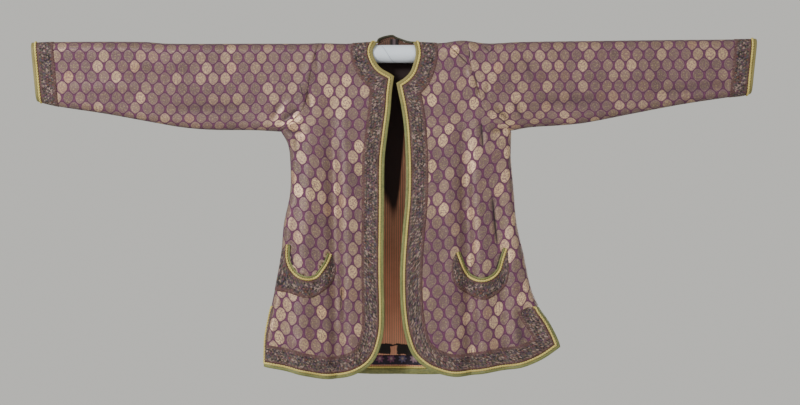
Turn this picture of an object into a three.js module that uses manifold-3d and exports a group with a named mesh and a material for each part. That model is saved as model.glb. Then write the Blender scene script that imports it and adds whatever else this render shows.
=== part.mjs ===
// A brocade coat hung on a rod that runs through both sleeves, in millimetres, Z up.
// The origin is on the rod's axis at its middle. X runs along the rod, the fronts face -Y.
// "right" and "left" are the wearer's: the right side lies at negative X.
//
// Every piece of cloth is cut from one hollow form. For a place (x, z) of the front view the form
// gives the cloth's half depth, so front, back and sleeves meet along their seams by themselves.
// A piece is a thin wall over a grid of points on that form, trimmed by its cut outline.

import * as THREE from 'three';
import { mergeVertices } from 'three/addons/utils/BufferGeometryUtils.js';
import Module from 'manifold-3d';

const wasm = await Module();
wasm.setup();

// Driving dimensions
const ROD_RADIUS = 18.5;
const ROD_LENGTH = 1326;
const ROD_SIDES = 32;
const WALL = 2;
const OVER_ROD = 21.3;
const SEAM_GAP = 0.3;
const TRIM_RISE = 1.0;
const PIPING_RISE = 2.2;
const EDGING_RISE = 0.8;
const LINING_WALL = 1.0;
const EDGING_WIDTH = 6.3;
const PIPING_WIDTH = 4.6;
const BORDER_WIDTH = 35;
const BACK_EDGING_WIDTH = 12;
const FACING_WIDTH = 20;
const FOLD_RADIUS = 14;
const BODY_FLARE = 0.016;
const SLEEVE_NARROWING = 0.05;
const BACK_STAND = 5;
const NECK_OPENNESS = 45;
const VENT_TOP = -523;
const PAST_CORNER = 20;
const SIDE_PART = 180;
const CUT_DEPTH = 260;
const CUT_TOP = 90;
const BEYOND = 420;
const OUTSIDE = 12;
const OUTLINE_STEP = 6;
const OUTLINE_END = { x: 800, z: -720 };
const ON_THE_FOLD = 0.7;
const CUFF_TOP = { right: -752, left: 748 };
const CUFF_BOTTOM = { right: -741, left: 737 };
const ARMPIT = { right: { x: -236, z: -161 }, left: { x: 240, z: -159 } };
const VENT_OPENING = { right: 0.25, left: 0.5 };
const VENT_SHARE = { right: 0.4, left: 1 };
const VENT_FADE = 90;
const SLEEVE_STARTS = { x: 170, drop: 150 };
const SLEEVE_FULL = { x: 320, drop: 300 };
const FOLD_ONSET = 0.35;
const SEAM_SHARE = 0.6;
const SLOPE_STEP = 0.5;
const NECK_LEAD = { x: 12, z: 60 };
const CUFF_LINE = { top: 60, bottom: -140 };
const LIP_SLIT = [-9.5, -2];
const LIP_EDGING = [-6.5, -2.3];
const LIP_PIPING = [-2, 2];
const LIP_BORDER = 2.3;
const BAG_REACH = 12;
const LINING_HALF = 115;
const LINING_HEIGHTS = [-700, -500];
const NECK_LINING_HALF = 34;
const UNDER_ROD = -24;
const INNER_PIPING_RISE = 1.7;
const INNER_PIPING_EXTRA = 2;
const LOOP = { x: [-10, 6.5], z: [12, 33] };
const SIGN = { right: -1, left: 1 };

const table = (columns, rows) => rows.map((row) => (
  Object.fromEntries(columns.map((name, i) => [name, row[i]]))
));

// The line of the shoulders and sleeve tops over the rod
const TOP_LINE = table(['x', 'z'], [
  [-750, 23], [-700, 25], [-520, 25], [-470, 21.5], [-275, 21.5], [-190, 21.5], [-150, 22.5],
  [-100, 21.5], [-40, 25], [40, 25], [95, 23], [140, 28], [190, 22], [260, 25], [400, 27], [560, 29],
  [680, 30], [750, 31],
]);

// The lower fold of the sleeves
const SLEEVE_BOTTOM = {
  right: table(['x', 'z'], [
    [-780, -92], [-747, -96], [-722, -103], [-690, -110], [-598, -124], [-499, -142], [-440, -152],
    [-380, -157], [-290, -158], [-236, -161],
  ]),
  left: table(['x', 'z'], [
    [240, -159], [280, -152], [340, -148], [391, -143], [490, -124], [590, -105], [689, -90], [722, -86],
    [748, -78], [780, -74],
  ]),
};

// The side outline of the body, from the armpit to below the hem
const SIDE = table(['z', 'right', 'left'], [
  [-159, -237, 241], [-186, -222, 240], [-219, -217, 240], [-286, -217, 246], [-352, -230, 252],
  [-418, -236, 267], [-484, -248, 281], [-523, -256, 298], [-551, -262, 317], [-584, -268, 334],
  [-606, -269, 341], [-690, -271, 343],
]);

// The armhole seams, by the share of the height from shoulder line to armpit
const ARMHOLE = table(['share', 'right', 'left'], [
  [0, -157, 149], [0.28, -171, 156], [0.45, -177, 165], [0.6, -181, 174], [0.75, -190, 182],
  [0.87, -208, 198],
  [0.95, -226, 222], [1, -236, 240],
]);

// The free edge of each front: neck, front edge with the rounded corner and the hem
const NECK = {
  right: table(['x', 'z'], [
    [-36, 26], [-45.7, 4.6], [-39.3, -16], [-28.4, -30.2], [-10, -41], [-1.5, -47],
  ]),
  left: table(['x', 'z'], [[38, 26], [42.4, 2], [39, -17], [31, -38], [18.6, -51], [2.5, -61]]),
};
const FRONT_EDGE = {
  right: table(['x', 'z'], [
    [-1.5, -47], [-6, -79], [-9, -118], [-15, -165], [-21, -219], [-22, -310], [-23, -450], [-21.5, -534],
    [-23, -573], [-31, -608], [-43, -633], [-62, -651], [-93, -665], [-135, -671.5], [-188, -664],
    [-227, -654], [-271, -646],
  ]),
  left: table(['x', 'z'], [
    [2.5, -61], [7, -83], [13, -112], [18.6, -155], [22.5, -240], [21, -304], [16, -360], [10.5, -440],
    [10.5, -500], [14, -546], [20, -580], [33, -617], [53, -640], [78, -655], [120, -666], [168, -662],
    [216, -654], [262, -647], [302, -631], [341, -605],
  ]),
};
const BACK_NECK = table(['x', 'z'], [
  [-44, 24], [-38, 27], [-35, 33], [-23, 38.5], [-5, 41.5], [3, 37.5], [15, 33], [27, 29], [39, 27],
  [46, 24],
]);
const BACK_HEM = table(['x', 'z'], [
  [-282, -640], [-200, -655], [-75, -664], [0, -665], [100, -664], [200, -650], [270, -636],
  [332, -604], [345, -598],
]);

// The long soft folds: ridges stand out of the face and troughs lie in it
const FOLDS = table(['face', 'x_top', 'x_bottom', 'z_top', 'z_bottom', 'width', 'height'], [
  [-1, -182, -204, -150, -720, 20, 4.5],
  [-1, -145, -130, -70, -720, 22, -7],
  [-1, -112, -90, -60, -720, 20, 5.5],
  [-1, 75, 122, -60, -720, 22, 5],
  [-1, 140, 165, -90, -720, 22, -6],
  [-1, 172, 205, -130, -720, 18, 4.5],
  [-1, 200, 262, -280, -720, 15, -5],
  [1, -170, -195, -90, -720, 24, 6],
  [1, -120, -128, -70, -720, 22, -6],
  [1, -62, -70, -110, -720, 24, 5],
  [1, 70, 92, -60, -720, 22, -6],
  [1, 128, 160, -90, -720, 24, 6],
  [1, 190, 235, -240, -720, 20, -5],
]);

// The lip of each U-shaped pocket slit, and the outer edge of the border below it
const POCKET_LIP = {
  right: table(['x', 'z'], [
    [-222, -394], [-222.5, -423], [-215, -444], [-200, -459.5], [-180, -466], [-162, -461.5], [-150, -448],
    [-140, -432], [-132.5, -414],
  ]),
  left: table(['x', 'z'], [
    [230, -402], [223, -424], [215, -448], [199, -463.5], [178, -469], [155, -461.5], [143, -448],
    [134, -427], [128, -410],
  ]),
};
const POCKET_BORDER = {
  right: table(['x', 'z'], [
    [-127, -423], [-121, -443], [-125, -462], [-133, -477], [-150, -492], [-170, -503], [-192, -502],
    [-219, -493], [-262, -484], [-262, -430],
  ]),
  left: table(['x', 'z'], [
    [120, -423], [117, -445], [119, -466], [128, -481], [143, -492], [164, -503], [187, -507], [210, -496],
    [226, -481], [233, -462], [235, -443], [233, -425],
  ]),
};

// Grids
const TOP_ANGLES = [0, 22.5, 45, 67.5, 90].map((degrees) => THREE.MathUtils.degToRad(degrees));
const FOLD_STEPS = [0, 0.134, 0.5, 1].map((share) => share * FOLD_RADIUS);
const FALL_SHARES = [0.33, 0.66];
const SLEEVE_RINGS = 12;
const SKIRT_ROWS = 9;
const FRONT_COLUMNS = 8;
const BACK_COLUMNS = 14;
const HEM_REACH = -682;
const FRONT_REACH = { right: 8, left: -6 };

const COLOURS = {
  brocade: { color: 0x8a6a78, roughness: 0.6, metalness: 0.1 },
  border: { color: 0x5a4650, roughness: 0.8, metalness: 0 },
  piping: { color: 0xc3b973, roughness: 0.5, metalness: 0 },
  edging: { color: 0x7d8c55, roughness: 0.5, metalness: 0 },
  lining: { color: 0xa5644b, roughness: 0.6, metalness: 0 },
  rod: { color: 0xe4e8ee, roughness: 0.5, metalness: 0 },
};

const { lerp, clamp, smoothstep } = THREE.MathUtils;

// A smooth value from a table: cubic between its rows, straight on beyond them
function along(rows, key, column, at) {
  const last = rows.length - 1;
  const rising = rows[last][key] > rows[0][key];
  const before = (row) => (rising ? row[key] <= at : row[key] >= at);
  const i = clamp(rows.findLastIndex(before), 0, last - 1);
  const slope = (j) => {
    const a = rows[Math.max(j - 1, 0)];
    const b = rows[Math.min(j + 1, last)];
    return (b[column] - a[column]) / (b[key] - a[key]);
  };
  const step = rows[i + 1][key] - rows[i][key];
  const t = (at - rows[i][key]) / step;
  if (t < 0) return rows[0][column] + slope(0) * (at - rows[0][key]);
  if (t > 1) return rows[last][column] + slope(last) * (at - rows[last][key]);
  const rise = rows[i + 1][column] - rows[i][column];
  const bend = t * (1 - t) * ((1 - t) * (slope(i) * step - rise) - t * (slope(i + 1) * step - rise));
  return lerp(rows[i][column], rows[i + 1][column], t) + bend;
}

const wearerSide = (x) => (x < 0 ? 'right' : 'left');
const topLine = (x) => along(TOP_LINE, 'x', 'z', x);
const rodLine = (x) => topLine(x) - OVER_ROD;
const sideLine = (side, z) => along(SIDE, 'z', side, z);
const armhole = (side, share) => along(ARMHOLE, 'share', side, share);

// How far a place lies in the neck opening: 1 at its middle, 0 outside it
function neckShare(x) {
  const middle = (BACK_NECK[0].x + BACK_NECK.at(-1).x) / 2;
  const half = (BACK_NECK.at(-1).x - BACK_NECK[0].x) / 2;
  const away = clamp(Math.abs(x - middle) / half, 0, 1);
  return Math.cos(away * Math.PI / 2);
}

// The lower edge of the cloth at one x: the sleeve's fold, or the armpit's height nearer the middle
function lowerLine(side, x) {
  if (Math.abs(x) <= Math.abs(ARMPIT[side].x)) return ARMPIT[side].z;
  return along(SLEEVE_BOTTOM[side], 'x', 'z', x);
}

// The outline that the cloth folds round: the sleeve's lower fold, the armpit, then the side
function foldOutline(side) {
  const { x: armpitX, z: armpitZ } = ARMPIT[side];
  const points = [];
  for (let away = OUTLINE_END.x; away > Math.abs(armpitX); away -= OUTLINE_STEP) {
    const x = SIGN[side] * away;
    points.push({ x, z: lowerLine(side, x) });
  }
  points.push({ x: armpitX, z: armpitZ });
  for (let z = armpitZ - OUTLINE_STEP; z > OUTLINE_END.z; z -= OUTLINE_STEP) {
    points.push({ x: sideLine(side, z), z });
  }
  return points;
}
const FOLD_OUTLINE = { right: foldOutline('right'), left: foldOutline('left') };

// The distance of a place from the folded outline, negative outside the cloth
function insideFold(x, z) {
  const side = wearerSide(x);
  const outline = FOLD_OUTLINE[side];
  let nearest = Infinity;
  let sense = 1;
  for (let i = 1; i < outline.length; i += 1) {
    const a = outline[i - 1];
    const b = outline[i];
    const dx = b.x - a.x;
    const dz = b.z - a.z;
    const t = clamp(((x - a.x) * dx + (z - a.z) * dz) / (dx * dx + dz * dz), 0, 1);
    const away = Math.hypot(x - a.x - t * dx, z - a.z - t * dz);
    if (away < nearest) {
      nearest = away;
      const turn = dx * (z - a.z) - dz * (x - a.x);
      sense = Math.sign(turn * -SIGN[side]) || 1;
    }
  }
  return nearest * sense;
}

function foldHeight(x, z, face) {
  let height = 0;
  for (const fold of FOLDS) {
    if (fold.face === face && z < fold.z_top) {
      const t = (fold.z_top - z) / (fold.z_top - fold.z_bottom);
      const across = (x - lerp(fold.x_top, fold.x_bottom, t)) / fold.width;
      height += fold.height * smoothstep(t, 0, FOLD_ONSET) * Math.exp(-across * across);
    }
  }
  return height;
}

// The half depth of the cloth where it hangs flat
function hangDepth(x, z, face) {
  const drop = Math.max(0, rodLine(x) - z);
  const beside = smoothstep(Math.abs(x), SLEEVE_STARTS.x, SLEEVE_FULL.x);
  const inSleeve = beside * (1 - smoothstep(drop, SLEEVE_STARTS.drop, SLEEVE_FULL.drop));
  const spread = lerp(BODY_FLARE, -SLEEVE_NARROWING, inSleeve) * drop;
  const stand = face > 0 ? BACK_STAND * neckShare(x) : 0;
  return OVER_ROD + spread + stand + foldHeight(x, z, face);
}

// How far a place has turned towards a fold or the shoulder line: 0 on the flat, 1 on the line
function turned(x, z, face, inside = insideFold(x, z)) {
  const above = z - rodLine(x);
  if (above > 0) {
    const opened = face > 0 ? NECK_OPENNESS * neckShare(x) : 0;
    return above / (OVER_ROD + opened);
  }
  const lap = Math.max(0, 1 - inside / FOLD_RADIUS);
  const opening = VENT_OPENING[wearerSide(x)] * smoothstep(-z, -VENT_TOP, -VENT_TOP + VENT_FADE);
  return lap * (1 - opening);
}

// A point of the cloth's outer face with its outward direction
function clothPoint(x, z, face) {
  const depth = hangDepth(x, z, face);
  const inside = insideFold(x, z);
  const turn = turned(x, z, face, inside < ON_THE_FOLD ? 0 : inside);
  const y = face * depth * Math.sqrt(Math.max(0, 1 - turn * turn));
  const step = SLOPE_STEP;
  const slope = (f, dx, dz) => (f(x + dx, z + dz, face) - f(x - dx, z - dz, face)) / (2 * step);
  const sag = y * y / depth ** 3;
  const normal = new THREE.Vector3(
    turn * slope(turned, step, 0) - sag * slope(hangDepth, step, 0),
    y / depth ** 2,
    turn * slope(turned, 0, step) - sag * slope(hangDepth, 0, step),
  ).normalize();
  return { at: new THREE.Vector3(x, y + face * SEAM_GAP / 2, z), normal };
}

// The height of the back's top edge, which stands up behind the neck
function backTop(x) {
  const inNeck = x > BACK_NECK[0].x && x < BACK_NECK.at(-1).x;
  return inNeck ? Math.max(topLine(x), along(BACK_NECK, 'x', 'z', x)) : topLine(x);
}

// The heights of the upper rows at one x: over the rod, down the flat, then round the lower edge
function upperHeights(x, top, bottom) {
  const start = rodLine(x);
  const over = TOP_ANGLES.map((angle) => start + (top - start) * Math.cos(angle));
  const lowest = FOLD_STEPS.map((step) => bottom + step).reverse();
  const fall = FALL_SHARES.map((share) => lerp(start, lowest[0], share));
  return [...over, ...fall, ...lowest];
}

// The points of an armhole seam, top to armpit, one for each upper row
function armholeSeam(side) {
  const { z: bottom } = ARMPIT[side];
  const count = upperHeights(0, 0, bottom).length;
  const points = Array.from({ length: count }, (_, row) => {
    let x = armhole(side, 0);
    for (let pass = 0; pass < 6; pass += 1) {
      const top = topLine(x);
      x = armhole(side, (top - upperHeights(x, top, bottom)[row]) / (top - bottom));
    }
    return { x, z: upperHeights(x, topLine(x), bottom)[row] };
  });
  return points;
}
const ARMHOLE_SEAM = { right: armholeSeam('right'), left: armholeSeam('left') };

// The seam moved half a gap towards the body (-1) or the sleeve (1), still on the folded edge
function seamEdge(side, row, towards) {
  const seam = ARMHOLE_SEAM[side];
  const { x, z } = seam[row];
  if (row === seam.length - 1) {
    const beyond = x + SIGN[side] * SEAM_GAP;
    return towards > 0 ? { x: beyond, z: lowerLine(side, beyond) } : { x, z: z - SEAM_GAP };
  }
  const next = seam[row + 1];
  const before = seam[Math.max(row - 1, 0)];
  const length = Math.hypot(next.x - before.x, next.z - before.z);
  const reach = towards * SEAM_GAP * SEAM_SHARE;
  const upright = row === 0 ? 0 : Math.abs(next.x - before.x) / length;
  const outward = SIGN[side] * Math.abs(next.z - before.z) / length;
  return { x: x + outward * reach, z: z + upright * reach };
}

// A body row's height at one x below the armpit, the rows spreading evenly to the hem
const skirtHeight = (armpit, row) => lerp(armpit, HEM_REACH, row / SKIRT_ROWS);

// The outer boundary of a body panel for each of its rows
function outerEdge(side) {
  const upper = ARMHOLE_SEAM[side].map((_, row) => seamEdge(side, row, -1));
  const lower = Array.from({ length: SKIRT_ROWS }, (_, i) => {
    const z = skirtHeight(ARMPIT[side].z, i + 1);
    return { x: sideLine(side, z), z };
  });
  return [...upper, ...lower];
}

function bodyHeight(x, face, armpit, row) {
  const top = face > 0 ? backTop(x) : topLine(x);
  const upper = upperHeights(x, top, armpit);
  return row < upper.length ? upper[row] : skirtHeight(armpit, row - upper.length + 1);
}

function evenly(from, to, count) {
  return Array.from({ length: count }, (_, i) => lerp(from, to, (i + 1) / count));
}

function frontGrid(side) {
  const rows = outerEdge(side).map((edge, row) => {
    const steps = FOLD_STEPS.slice(1).map((step) => edge.x - SIGN[side] * step);
    const columns = [...steps, ...evenly(steps.at(-1), FRONT_REACH[side], FRONT_COLUMNS)];
    const inside = columns.map((x) => clothPoint(x, bodyHeight(x, -1, ARMPIT[side].z, row), -1));
    return [clothPoint(edge.x, edge.z, -1), ...inside];
  });
  return { rows, wraps: false };
}

function backGrid() {
  const leftEdge = outerEdge('left');
  const rows = outerEdge('right').map((right, row) => {
    const left = leftEdge[row];
    const start = FOLD_STEPS.slice(1).map((step) => right.x + step);
    const end = FOLD_STEPS.slice(1).map((step) => left.x - step).reverse();
    const columns = [...start, ...evenly(start.at(-1), end[0], BACK_COLUMNS).slice(0, -1), ...end];
    const inside = columns.map((x) => {
      const armpit = lerp(ARMPIT.right.z, ARMPIT.left.z, (x - right.x) / (left.x - right.x));
      return clothPoint(x, bodyHeight(x, 1, armpit, row), 1);
    });
    return [clothPoint(right.x, right.z, 1), ...inside, clothPoint(left.x, left.z, 1)];
  });
  return { rows, wraps: false };
}

// The sleeve is one closed tube, folded over the rod and along its lower edge
function sleeveGrid(side) {
  const stations = ARMHOLE_SEAM[side].map((seam, row) => {
    const cuff = CUFF_TOP[side];
    const guess = upperHeights(cuff, topLine(cuff), lowerLine(side, cuff));
    const share = (guess[0] - guess[row]) / (guess[0] - guess.at(-1));
    return { from: lerp(cuff, CUFF_BOTTOM[side], share), to: seamEdge(side, row, 1) };
  });
  const rings = Array.from({ length: SLEEVE_RINGS + 1 }, (_, ring) => {
    const half = stations.map(({ from, to }, row) => {
      const x = lerp(from, to.x, ring / SLEEVE_RINGS);
      const z = ring === SLEEVE_RINGS ? to.z : upperHeights(x, topLine(x), lowerLine(side, x))[row];
      return { x, z };
    });
    const front = half.map(({ x, z }) => clothPoint(x, z, -1));
    const back = half.map(({ x, z }) => clothPoint(x, z, 1)).slice(1, -1).reverse();
    front[0].at.y = 0;
    front.at(-1).at.y = 0;
    return [...front, ...back];
  });
  return { rows: rings, wraps: true };
}

// A thin wall over a grid, between two heights above its outer face
function wall(grid, low, high) {
  const { rows, wraps } = grid;
  const across = rows[0].length;
  const positions = [];
  for (const height of [high, low]) {
    for (const row of rows) {
      for (const { at, normal } of row) {
        const p = at.clone().addScaledVector(normal, height);
        positions.push(p.x, p.y, p.z);
      }
    }
  }
  const layer = rows.length * across;
  const id = (row, column) => row * across + (column % across);
  const faces = [];
  const quad = (a, b, c, d) => faces.push(a, b, c, a, c, d);
  const columns = wraps ? across : across - 1;
  for (let r = 0; r < rows.length - 1; r += 1) {
    for (let c = 0; c < columns; c += 1) {
      const corner = [id(r, c), id(r + 1, c), id(r + 1, c + 1), id(r, c + 1)];
      quad(...corner);
      const [a, b, d, e] = corner.map((v) => v + layer);
      faces.push(a, d, b, a, e, d);
    }
  }
  const rim = (a, b) => quad(b, a, a + layer, b + layer);
  for (let c = 0; c < columns; c += 1) {
    rim(id(0, c + 1), id(0, c));
    rim(id(rows.length - 1, c), id(rows.length - 1, c + 1));
  }
  if (!wraps) {
    for (let r = 0; r < rows.length - 1; r += 1) {
      rim(id(r, 0), id(r + 1, 0));
      rim(id(r + 1, across - 1), id(r, across - 1));
    }
  }
  const geometry = new THREE.BufferGeometry();
  geometry.setAttribute('position', new THREE.Float32BufferAttribute(positions, 3));
  geometry.setIndex(faces);
  return solid(geometry);
}

function solid(geometry) {
  const bare = geometry.clone();
  bare.deleteAttribute('normal');
  bare.deleteAttribute('uv');
  const merged = mergeVertices(bare, 1e-4);
  const vertProperties = new Float32Array(merged.attributes.position.array);
  const triVerts = new Uint32Array(merged.index.array);
  const volume = signedVolume(vertProperties, triVerts);
  if (volume < 0) {
    for (let i = 0; i < triVerts.length; i += 3) {
      [triVerts[i + 1], triVerts[i + 2]] = [triVerts[i + 2], triVerts[i + 1]];
    }
  }
  return new wasm.Manifold(new wasm.Mesh({ numProp: 3, vertProperties, triVerts }));
}

function signedVolume(vertices, triangles) {
  let volume = 0;
  const corner = (i) => new THREE.Vector3().fromArray(vertices, 3 * triangles[i]);
  for (let i = 0; i < triangles.length; i += 3) {
    volume += corner(i).dot(corner(i + 1).cross(corner(i + 2)));
  }
  return volume;
}

// A block that cuts straight through front and back, over an outline in the front view
function cutter(outline) {
  const shape = new THREE.Shape(outline.map(([x, z]) => new THREE.Vector2(x, z)));
  const block = new THREE.ExtrudeGeometry(shape, { depth: 2 * CUT_DEPTH, bevelEnabled: false });
  block.translate(0, 0, -CUT_DEPTH);
  block.rotateX(Math.PI / 2);
  return solid(block);
}

// The rows of an outline table as a run of points
const run = (rows) => rows.map(({ x, z }) => [x, z]);

// A run moved sideways, to the right of its direction when the distance is positive
function shifted(points, distance) {
  return points.map(([x, z], i) => {
    const [ax, az] = points[Math.max(i - 1, 0)];
    const [bx, bz] = points[Math.min(i + 1, points.length - 1)];
    const length = Math.hypot(bx - ax, bz - az);
    return [x + distance * (bz - az) / length, z - distance * (bx - ax) / length];
  });
}

// Two runs joined where they cross, or end to start where they don't
function joined(first, second) {
  for (let i = first.length - 1; i > 0; i -= 1) {
    for (let j = 0; j < second.length - 1; j += 1) {
      const hit = crossing(first[i - 1], first[i], second[j], second[j + 1]);
      if (hit) return [...first.slice(0, i), hit, ...second.slice(j + 1)];
    }
  }
  return [...first, ...second];
}

function crossing([ax, az], [bx, bz], [cx, cz], [dx, dz]) {
  const cross = (bx - ax) * (dz - cz) - (bz - az) * (dx - cx);
  if (Math.abs(cross) < 1e-9) return null;
  const t = ((cx - ax) * (dz - cz) - (cz - az) * (dx - cx)) / cross;
  const u = ((cx - ax) * (bz - az) - (cz - az) * (bx - ax)) / cross;
  const on = (v) => v >= 0 && v <= 1;
  return on(t) && on(u) ? [ax + t * (bx - ax), az + t * (bz - az)] : null;
}

const sideRun = (side, from, to, steps = 4) => Array.from({ length: steps + 1 }, (_, i) => {
  const z = lerp(from, to, i / steps);
  return [sideLine(side, z), z];
});

// The free edge of a front at a distance into the cloth: neck, front edge with hem, and side vent
function frontEdgeAt(side, distance) {
  const into = -SIGN[side] * distance;
  const lead = { x: NECK[side][0].x - NECK_LEAD.x * SIGN[side], z: NECK_LEAD.z };
  const neck = shifted(run([lead, ...NECK[side]]), into);
  const edge = shifted(run(FRONT_EDGE[side]), into);
  const corner = FRONT_EDGE[side].at(-1).z;
  const upwards = sideRun(side, corner - PAST_CORNER, VENT_TOP + PAST_CORNER);
  return joined(joined(neck, edge), shifted(upwards, into * VENT_SHARE[side]));
}

// The free edge of the back below its vent tops, at a distance into the cloth
function backEdgeAt(distance) {
  const down = sideRun('right', VENT_TOP + PAST_CORNER, BACK_HEM[0].z - PAST_CORNER);
  const hem = shifted(run(BACK_HEM), -distance);
  const up = sideRun('left', BACK_HEM.at(-1).z - PAST_CORNER, VENT_TOP + PAST_CORNER);
  const rightVent = shifted(down, -distance * VENT_SHARE.right);
  const leftVent = shifted(up, -distance * VENT_SHARE.left);
  return joined(joined(rightVent, hem), leftVent);
}

const between = (near, far) => cutter([...near, ...far.reverse()]);
const box = (x0, x1, z0, z1) => cutter([[x0, z0], [x1, z0], [x1, z1], [x0, z1]]);

// Everything beside the body above a height, where the side seams are closed
function aboveVent(side, z) {
  const xs = [SIGN[side] * SIDE_PART, SIGN[side] * BEYOND].sort((a, b) => a - b);
  return box(xs[0], xs[1], z, CUT_TOP);
}

function frontStrip(side, from, to) {
  const strip = between(frontEdgeAt(side, from), frontEdgeAt(side, to));
  return strip.subtract(aboveVent(side, VENT_TOP - SEAM_GAP));
}

function backStrip(from, to) {
  const strip = between(backEdgeAt(from), backEdgeAt(to));
  const closed = VENT_TOP - SEAM_GAP;
  return strip.subtract(aboveVent('right', closed)).subtract(aboveVent('left', closed));
}

// A front's whole outline, its free edge moved into the cloth and everything beyond the side kept
function frontOutline(side, inset) {
  const edge = frontEdgeAt(side, inset);
  const far = SIGN[side] * BEYOND;
  return cutter([...edge, [far, edge.at(-1)[1]], [far, NECK_LEAD.z]]).add(aboveVent(side, VENT_TOP));
}

function backOutline(inset) {
  const edge = backEdgeAt(inset);
  const top = [[BEYOND, edge.at(-1)[1]], [BEYOND, CUT_TOP], [-BEYOND, CUT_TOP], [-BEYOND, edge[0][1]]];
  const outline = cutter([...edge, ...top]);
  return outline.add(aboveVent('right', VENT_TOP)).add(aboveVent('left', VENT_TOP));
}

function neckStrip(from, to) {
  const rows = BACK_NECK.slice(1, -1);
  return between(shifted(run(rows), from), shifted(run(rows), to));
}

function cuffStrip(side, from, to) {
  const inward = -SIGN[side];
  const line = (distance) => [
    [CUFF_TOP[side] + inward * distance, CUFF_LINE.top],
    [CUFF_BOTTOM[side] + inward * distance, CUFF_LINE.bottom],
  ];
  return between(line(from), line(to));
}

// The pocket's lip runs from its outer end round to its inner end
function lipAt(side, distance) {
  return shifted(run(POCKET_LIP[side]), -SIGN[side] * distance);
}

const lipStrip = (side, [from, to]) => between(lipAt(side, from), lipAt(side, to));

const group = new THREE.Group();

function addGeometry(name, finish, geometry) {
  const material = new THREE.MeshStandardMaterial(COLOURS[finish]);
  const mesh = new THREE.Mesh(geometry, material);
  mesh.name = name;
  group.add(mesh);
}

function addSolid(name, finish, body) {
  const { numProp, vertProperties, triVerts } = body.getMesh();
  const positions = new Float32Array(vertProperties.length / numProp * 3);
  for (let i = 0; i < positions.length / 3; i += 1) {
    positions.set(vertProperties.slice(i * numProp, i * numProp + 3), i * 3);
  }
  const geometry = new THREE.BufferGeometry();
  geometry.setAttribute('position', new THREE.BufferAttribute(positions, 3));
  geometry.setIndex(new THREE.BufferAttribute(triVerts, 1));
  addGeometry(name, finish, geometry.toNonIndexed());
}

const rod = new THREE.CylinderGeometry(ROD_RADIUS, ROD_RADIUS, ROD_LENGTH, ROD_SIDES);
rod.rotateZ(Math.PI / 2);
addGeometry('rod', 'rod', rod);

const pipingStart = EDGING_WIDTH + SEAM_GAP;
const pipingEnd = pipingStart + PIPING_WIDTH;
const borderStart = pipingEnd + SEAM_GAP;
const borderEnd = borderStart + BORDER_WIDTH;
const inner = -WALL - SEAM_GAP;

for (const side of ['right', 'left']) {
  const front = frontGrid(side);
  const cloth = wall(front, -WALL, 0);
  const bound = wall(front, -WALL, EDGING_RISE);
  const corded = wall(front, SEAM_GAP, PIPING_RISE);
  const trimmed = wall(front, SEAM_GAP, TRIM_RISE);
  const outline = frontOutline(side, pipingStart);
  addSolid(`${side}_front`, 'brocade', cloth.intersect(outline).subtract(lipStrip(side, LIP_SLIT)));
  addSolid(`${side}_front_edging`, 'edging', bound.intersect(frontStrip(side, 0, EDGING_WIDTH)));
  addSolid(`${side}_front_piping`, 'piping', corded.intersect(frontStrip(side, pipingStart, pipingEnd)));
  addSolid(`${side}_front_border`, 'border', trimmed.intersect(frontStrip(side, borderStart, borderEnd)));

  const crescent = cutter([...lipAt(side, LIP_BORDER), ...run(POCKET_BORDER[side])]);
  const bag = wall(front, inner - LINING_WALL, inner).intersect(cutter(lipAt(side, BAG_REACH)));
  addSolid(`${side}_pocket_border`, 'border', trimmed.intersect(crescent));
  addSolid(`${side}_pocket_piping`, 'piping', corded.intersect(lipStrip(side, LIP_PIPING)));
  addSolid(`${side}_pocket_edging`, 'edging', bound.intersect(lipStrip(side, LIP_EDGING)));
  addSolid(`${side}_pocket_back`, 'brocade', bag);

  const sleeve = sleeveGrid(side);
  const cuffEdging = wall(sleeve, -WALL, EDGING_RISE).intersect(cuffStrip(side, -OUTSIDE, EDGING_WIDTH));
  const cuffPiping = wall(sleeve, SEAM_GAP, PIPING_RISE).intersect(cuffStrip(side, pipingStart, pipingEnd));
  const cuffBorder = wall(sleeve, SEAM_GAP, TRIM_RISE).intersect(cuffStrip(side, borderStart, borderEnd));
  const ownCuff = cuffStrip(side, -OUTSIDE, pipingStart);
  addSolid(`${side}_sleeve`, 'brocade', wall(sleeve, -WALL, 0).subtract(ownCuff));
  addSolid(`${side}_cuff_edging`, 'edging', cuffEdging);
  addSolid(`${side}_cuff_piping`, 'piping', cuffPiping);
  addSolid(`${side}_cuff_border`, 'border', cuffBorder);
}

const back = backGrid();
const backPiping = BACK_EDGING_WIDTH + SEAM_GAP;
const backPipingEnd = backPiping + PIPING_WIDTH;
const backBorder = backPipingEnd + SEAM_GAP;
const neckCut = neckStrip(-OUTSIDE, pipingStart);
const bound = wall(back, -WALL, EDGING_RISE);
const hemPiping = wall(back, SEAM_GAP, PIPING_RISE).intersect(backStrip(backPiping, backPipingEnd));
const backBorderEnd = backBorder + BORDER_WIDTH;
const hemBorder = wall(back, SEAM_GAP, TRIM_RISE).intersect(backStrip(backBorder, backBorderEnd));
addSolid('back', 'brocade', wall(back, -WALL, 0).intersect(backOutline(backPiping)).subtract(neckCut));
addSolid('back_hem_edging', 'edging', bound.intersect(backStrip(0, BACK_EDGING_WIDTH)));
addSolid('back_hem_piping', 'piping', hemPiping);
addSolid('back_hem_border', 'border', hemBorder);
addSolid('back_neck_edging', 'edging', bound.intersect(neckStrip(-OUTSIDE, EDGING_WIDTH)));

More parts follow.
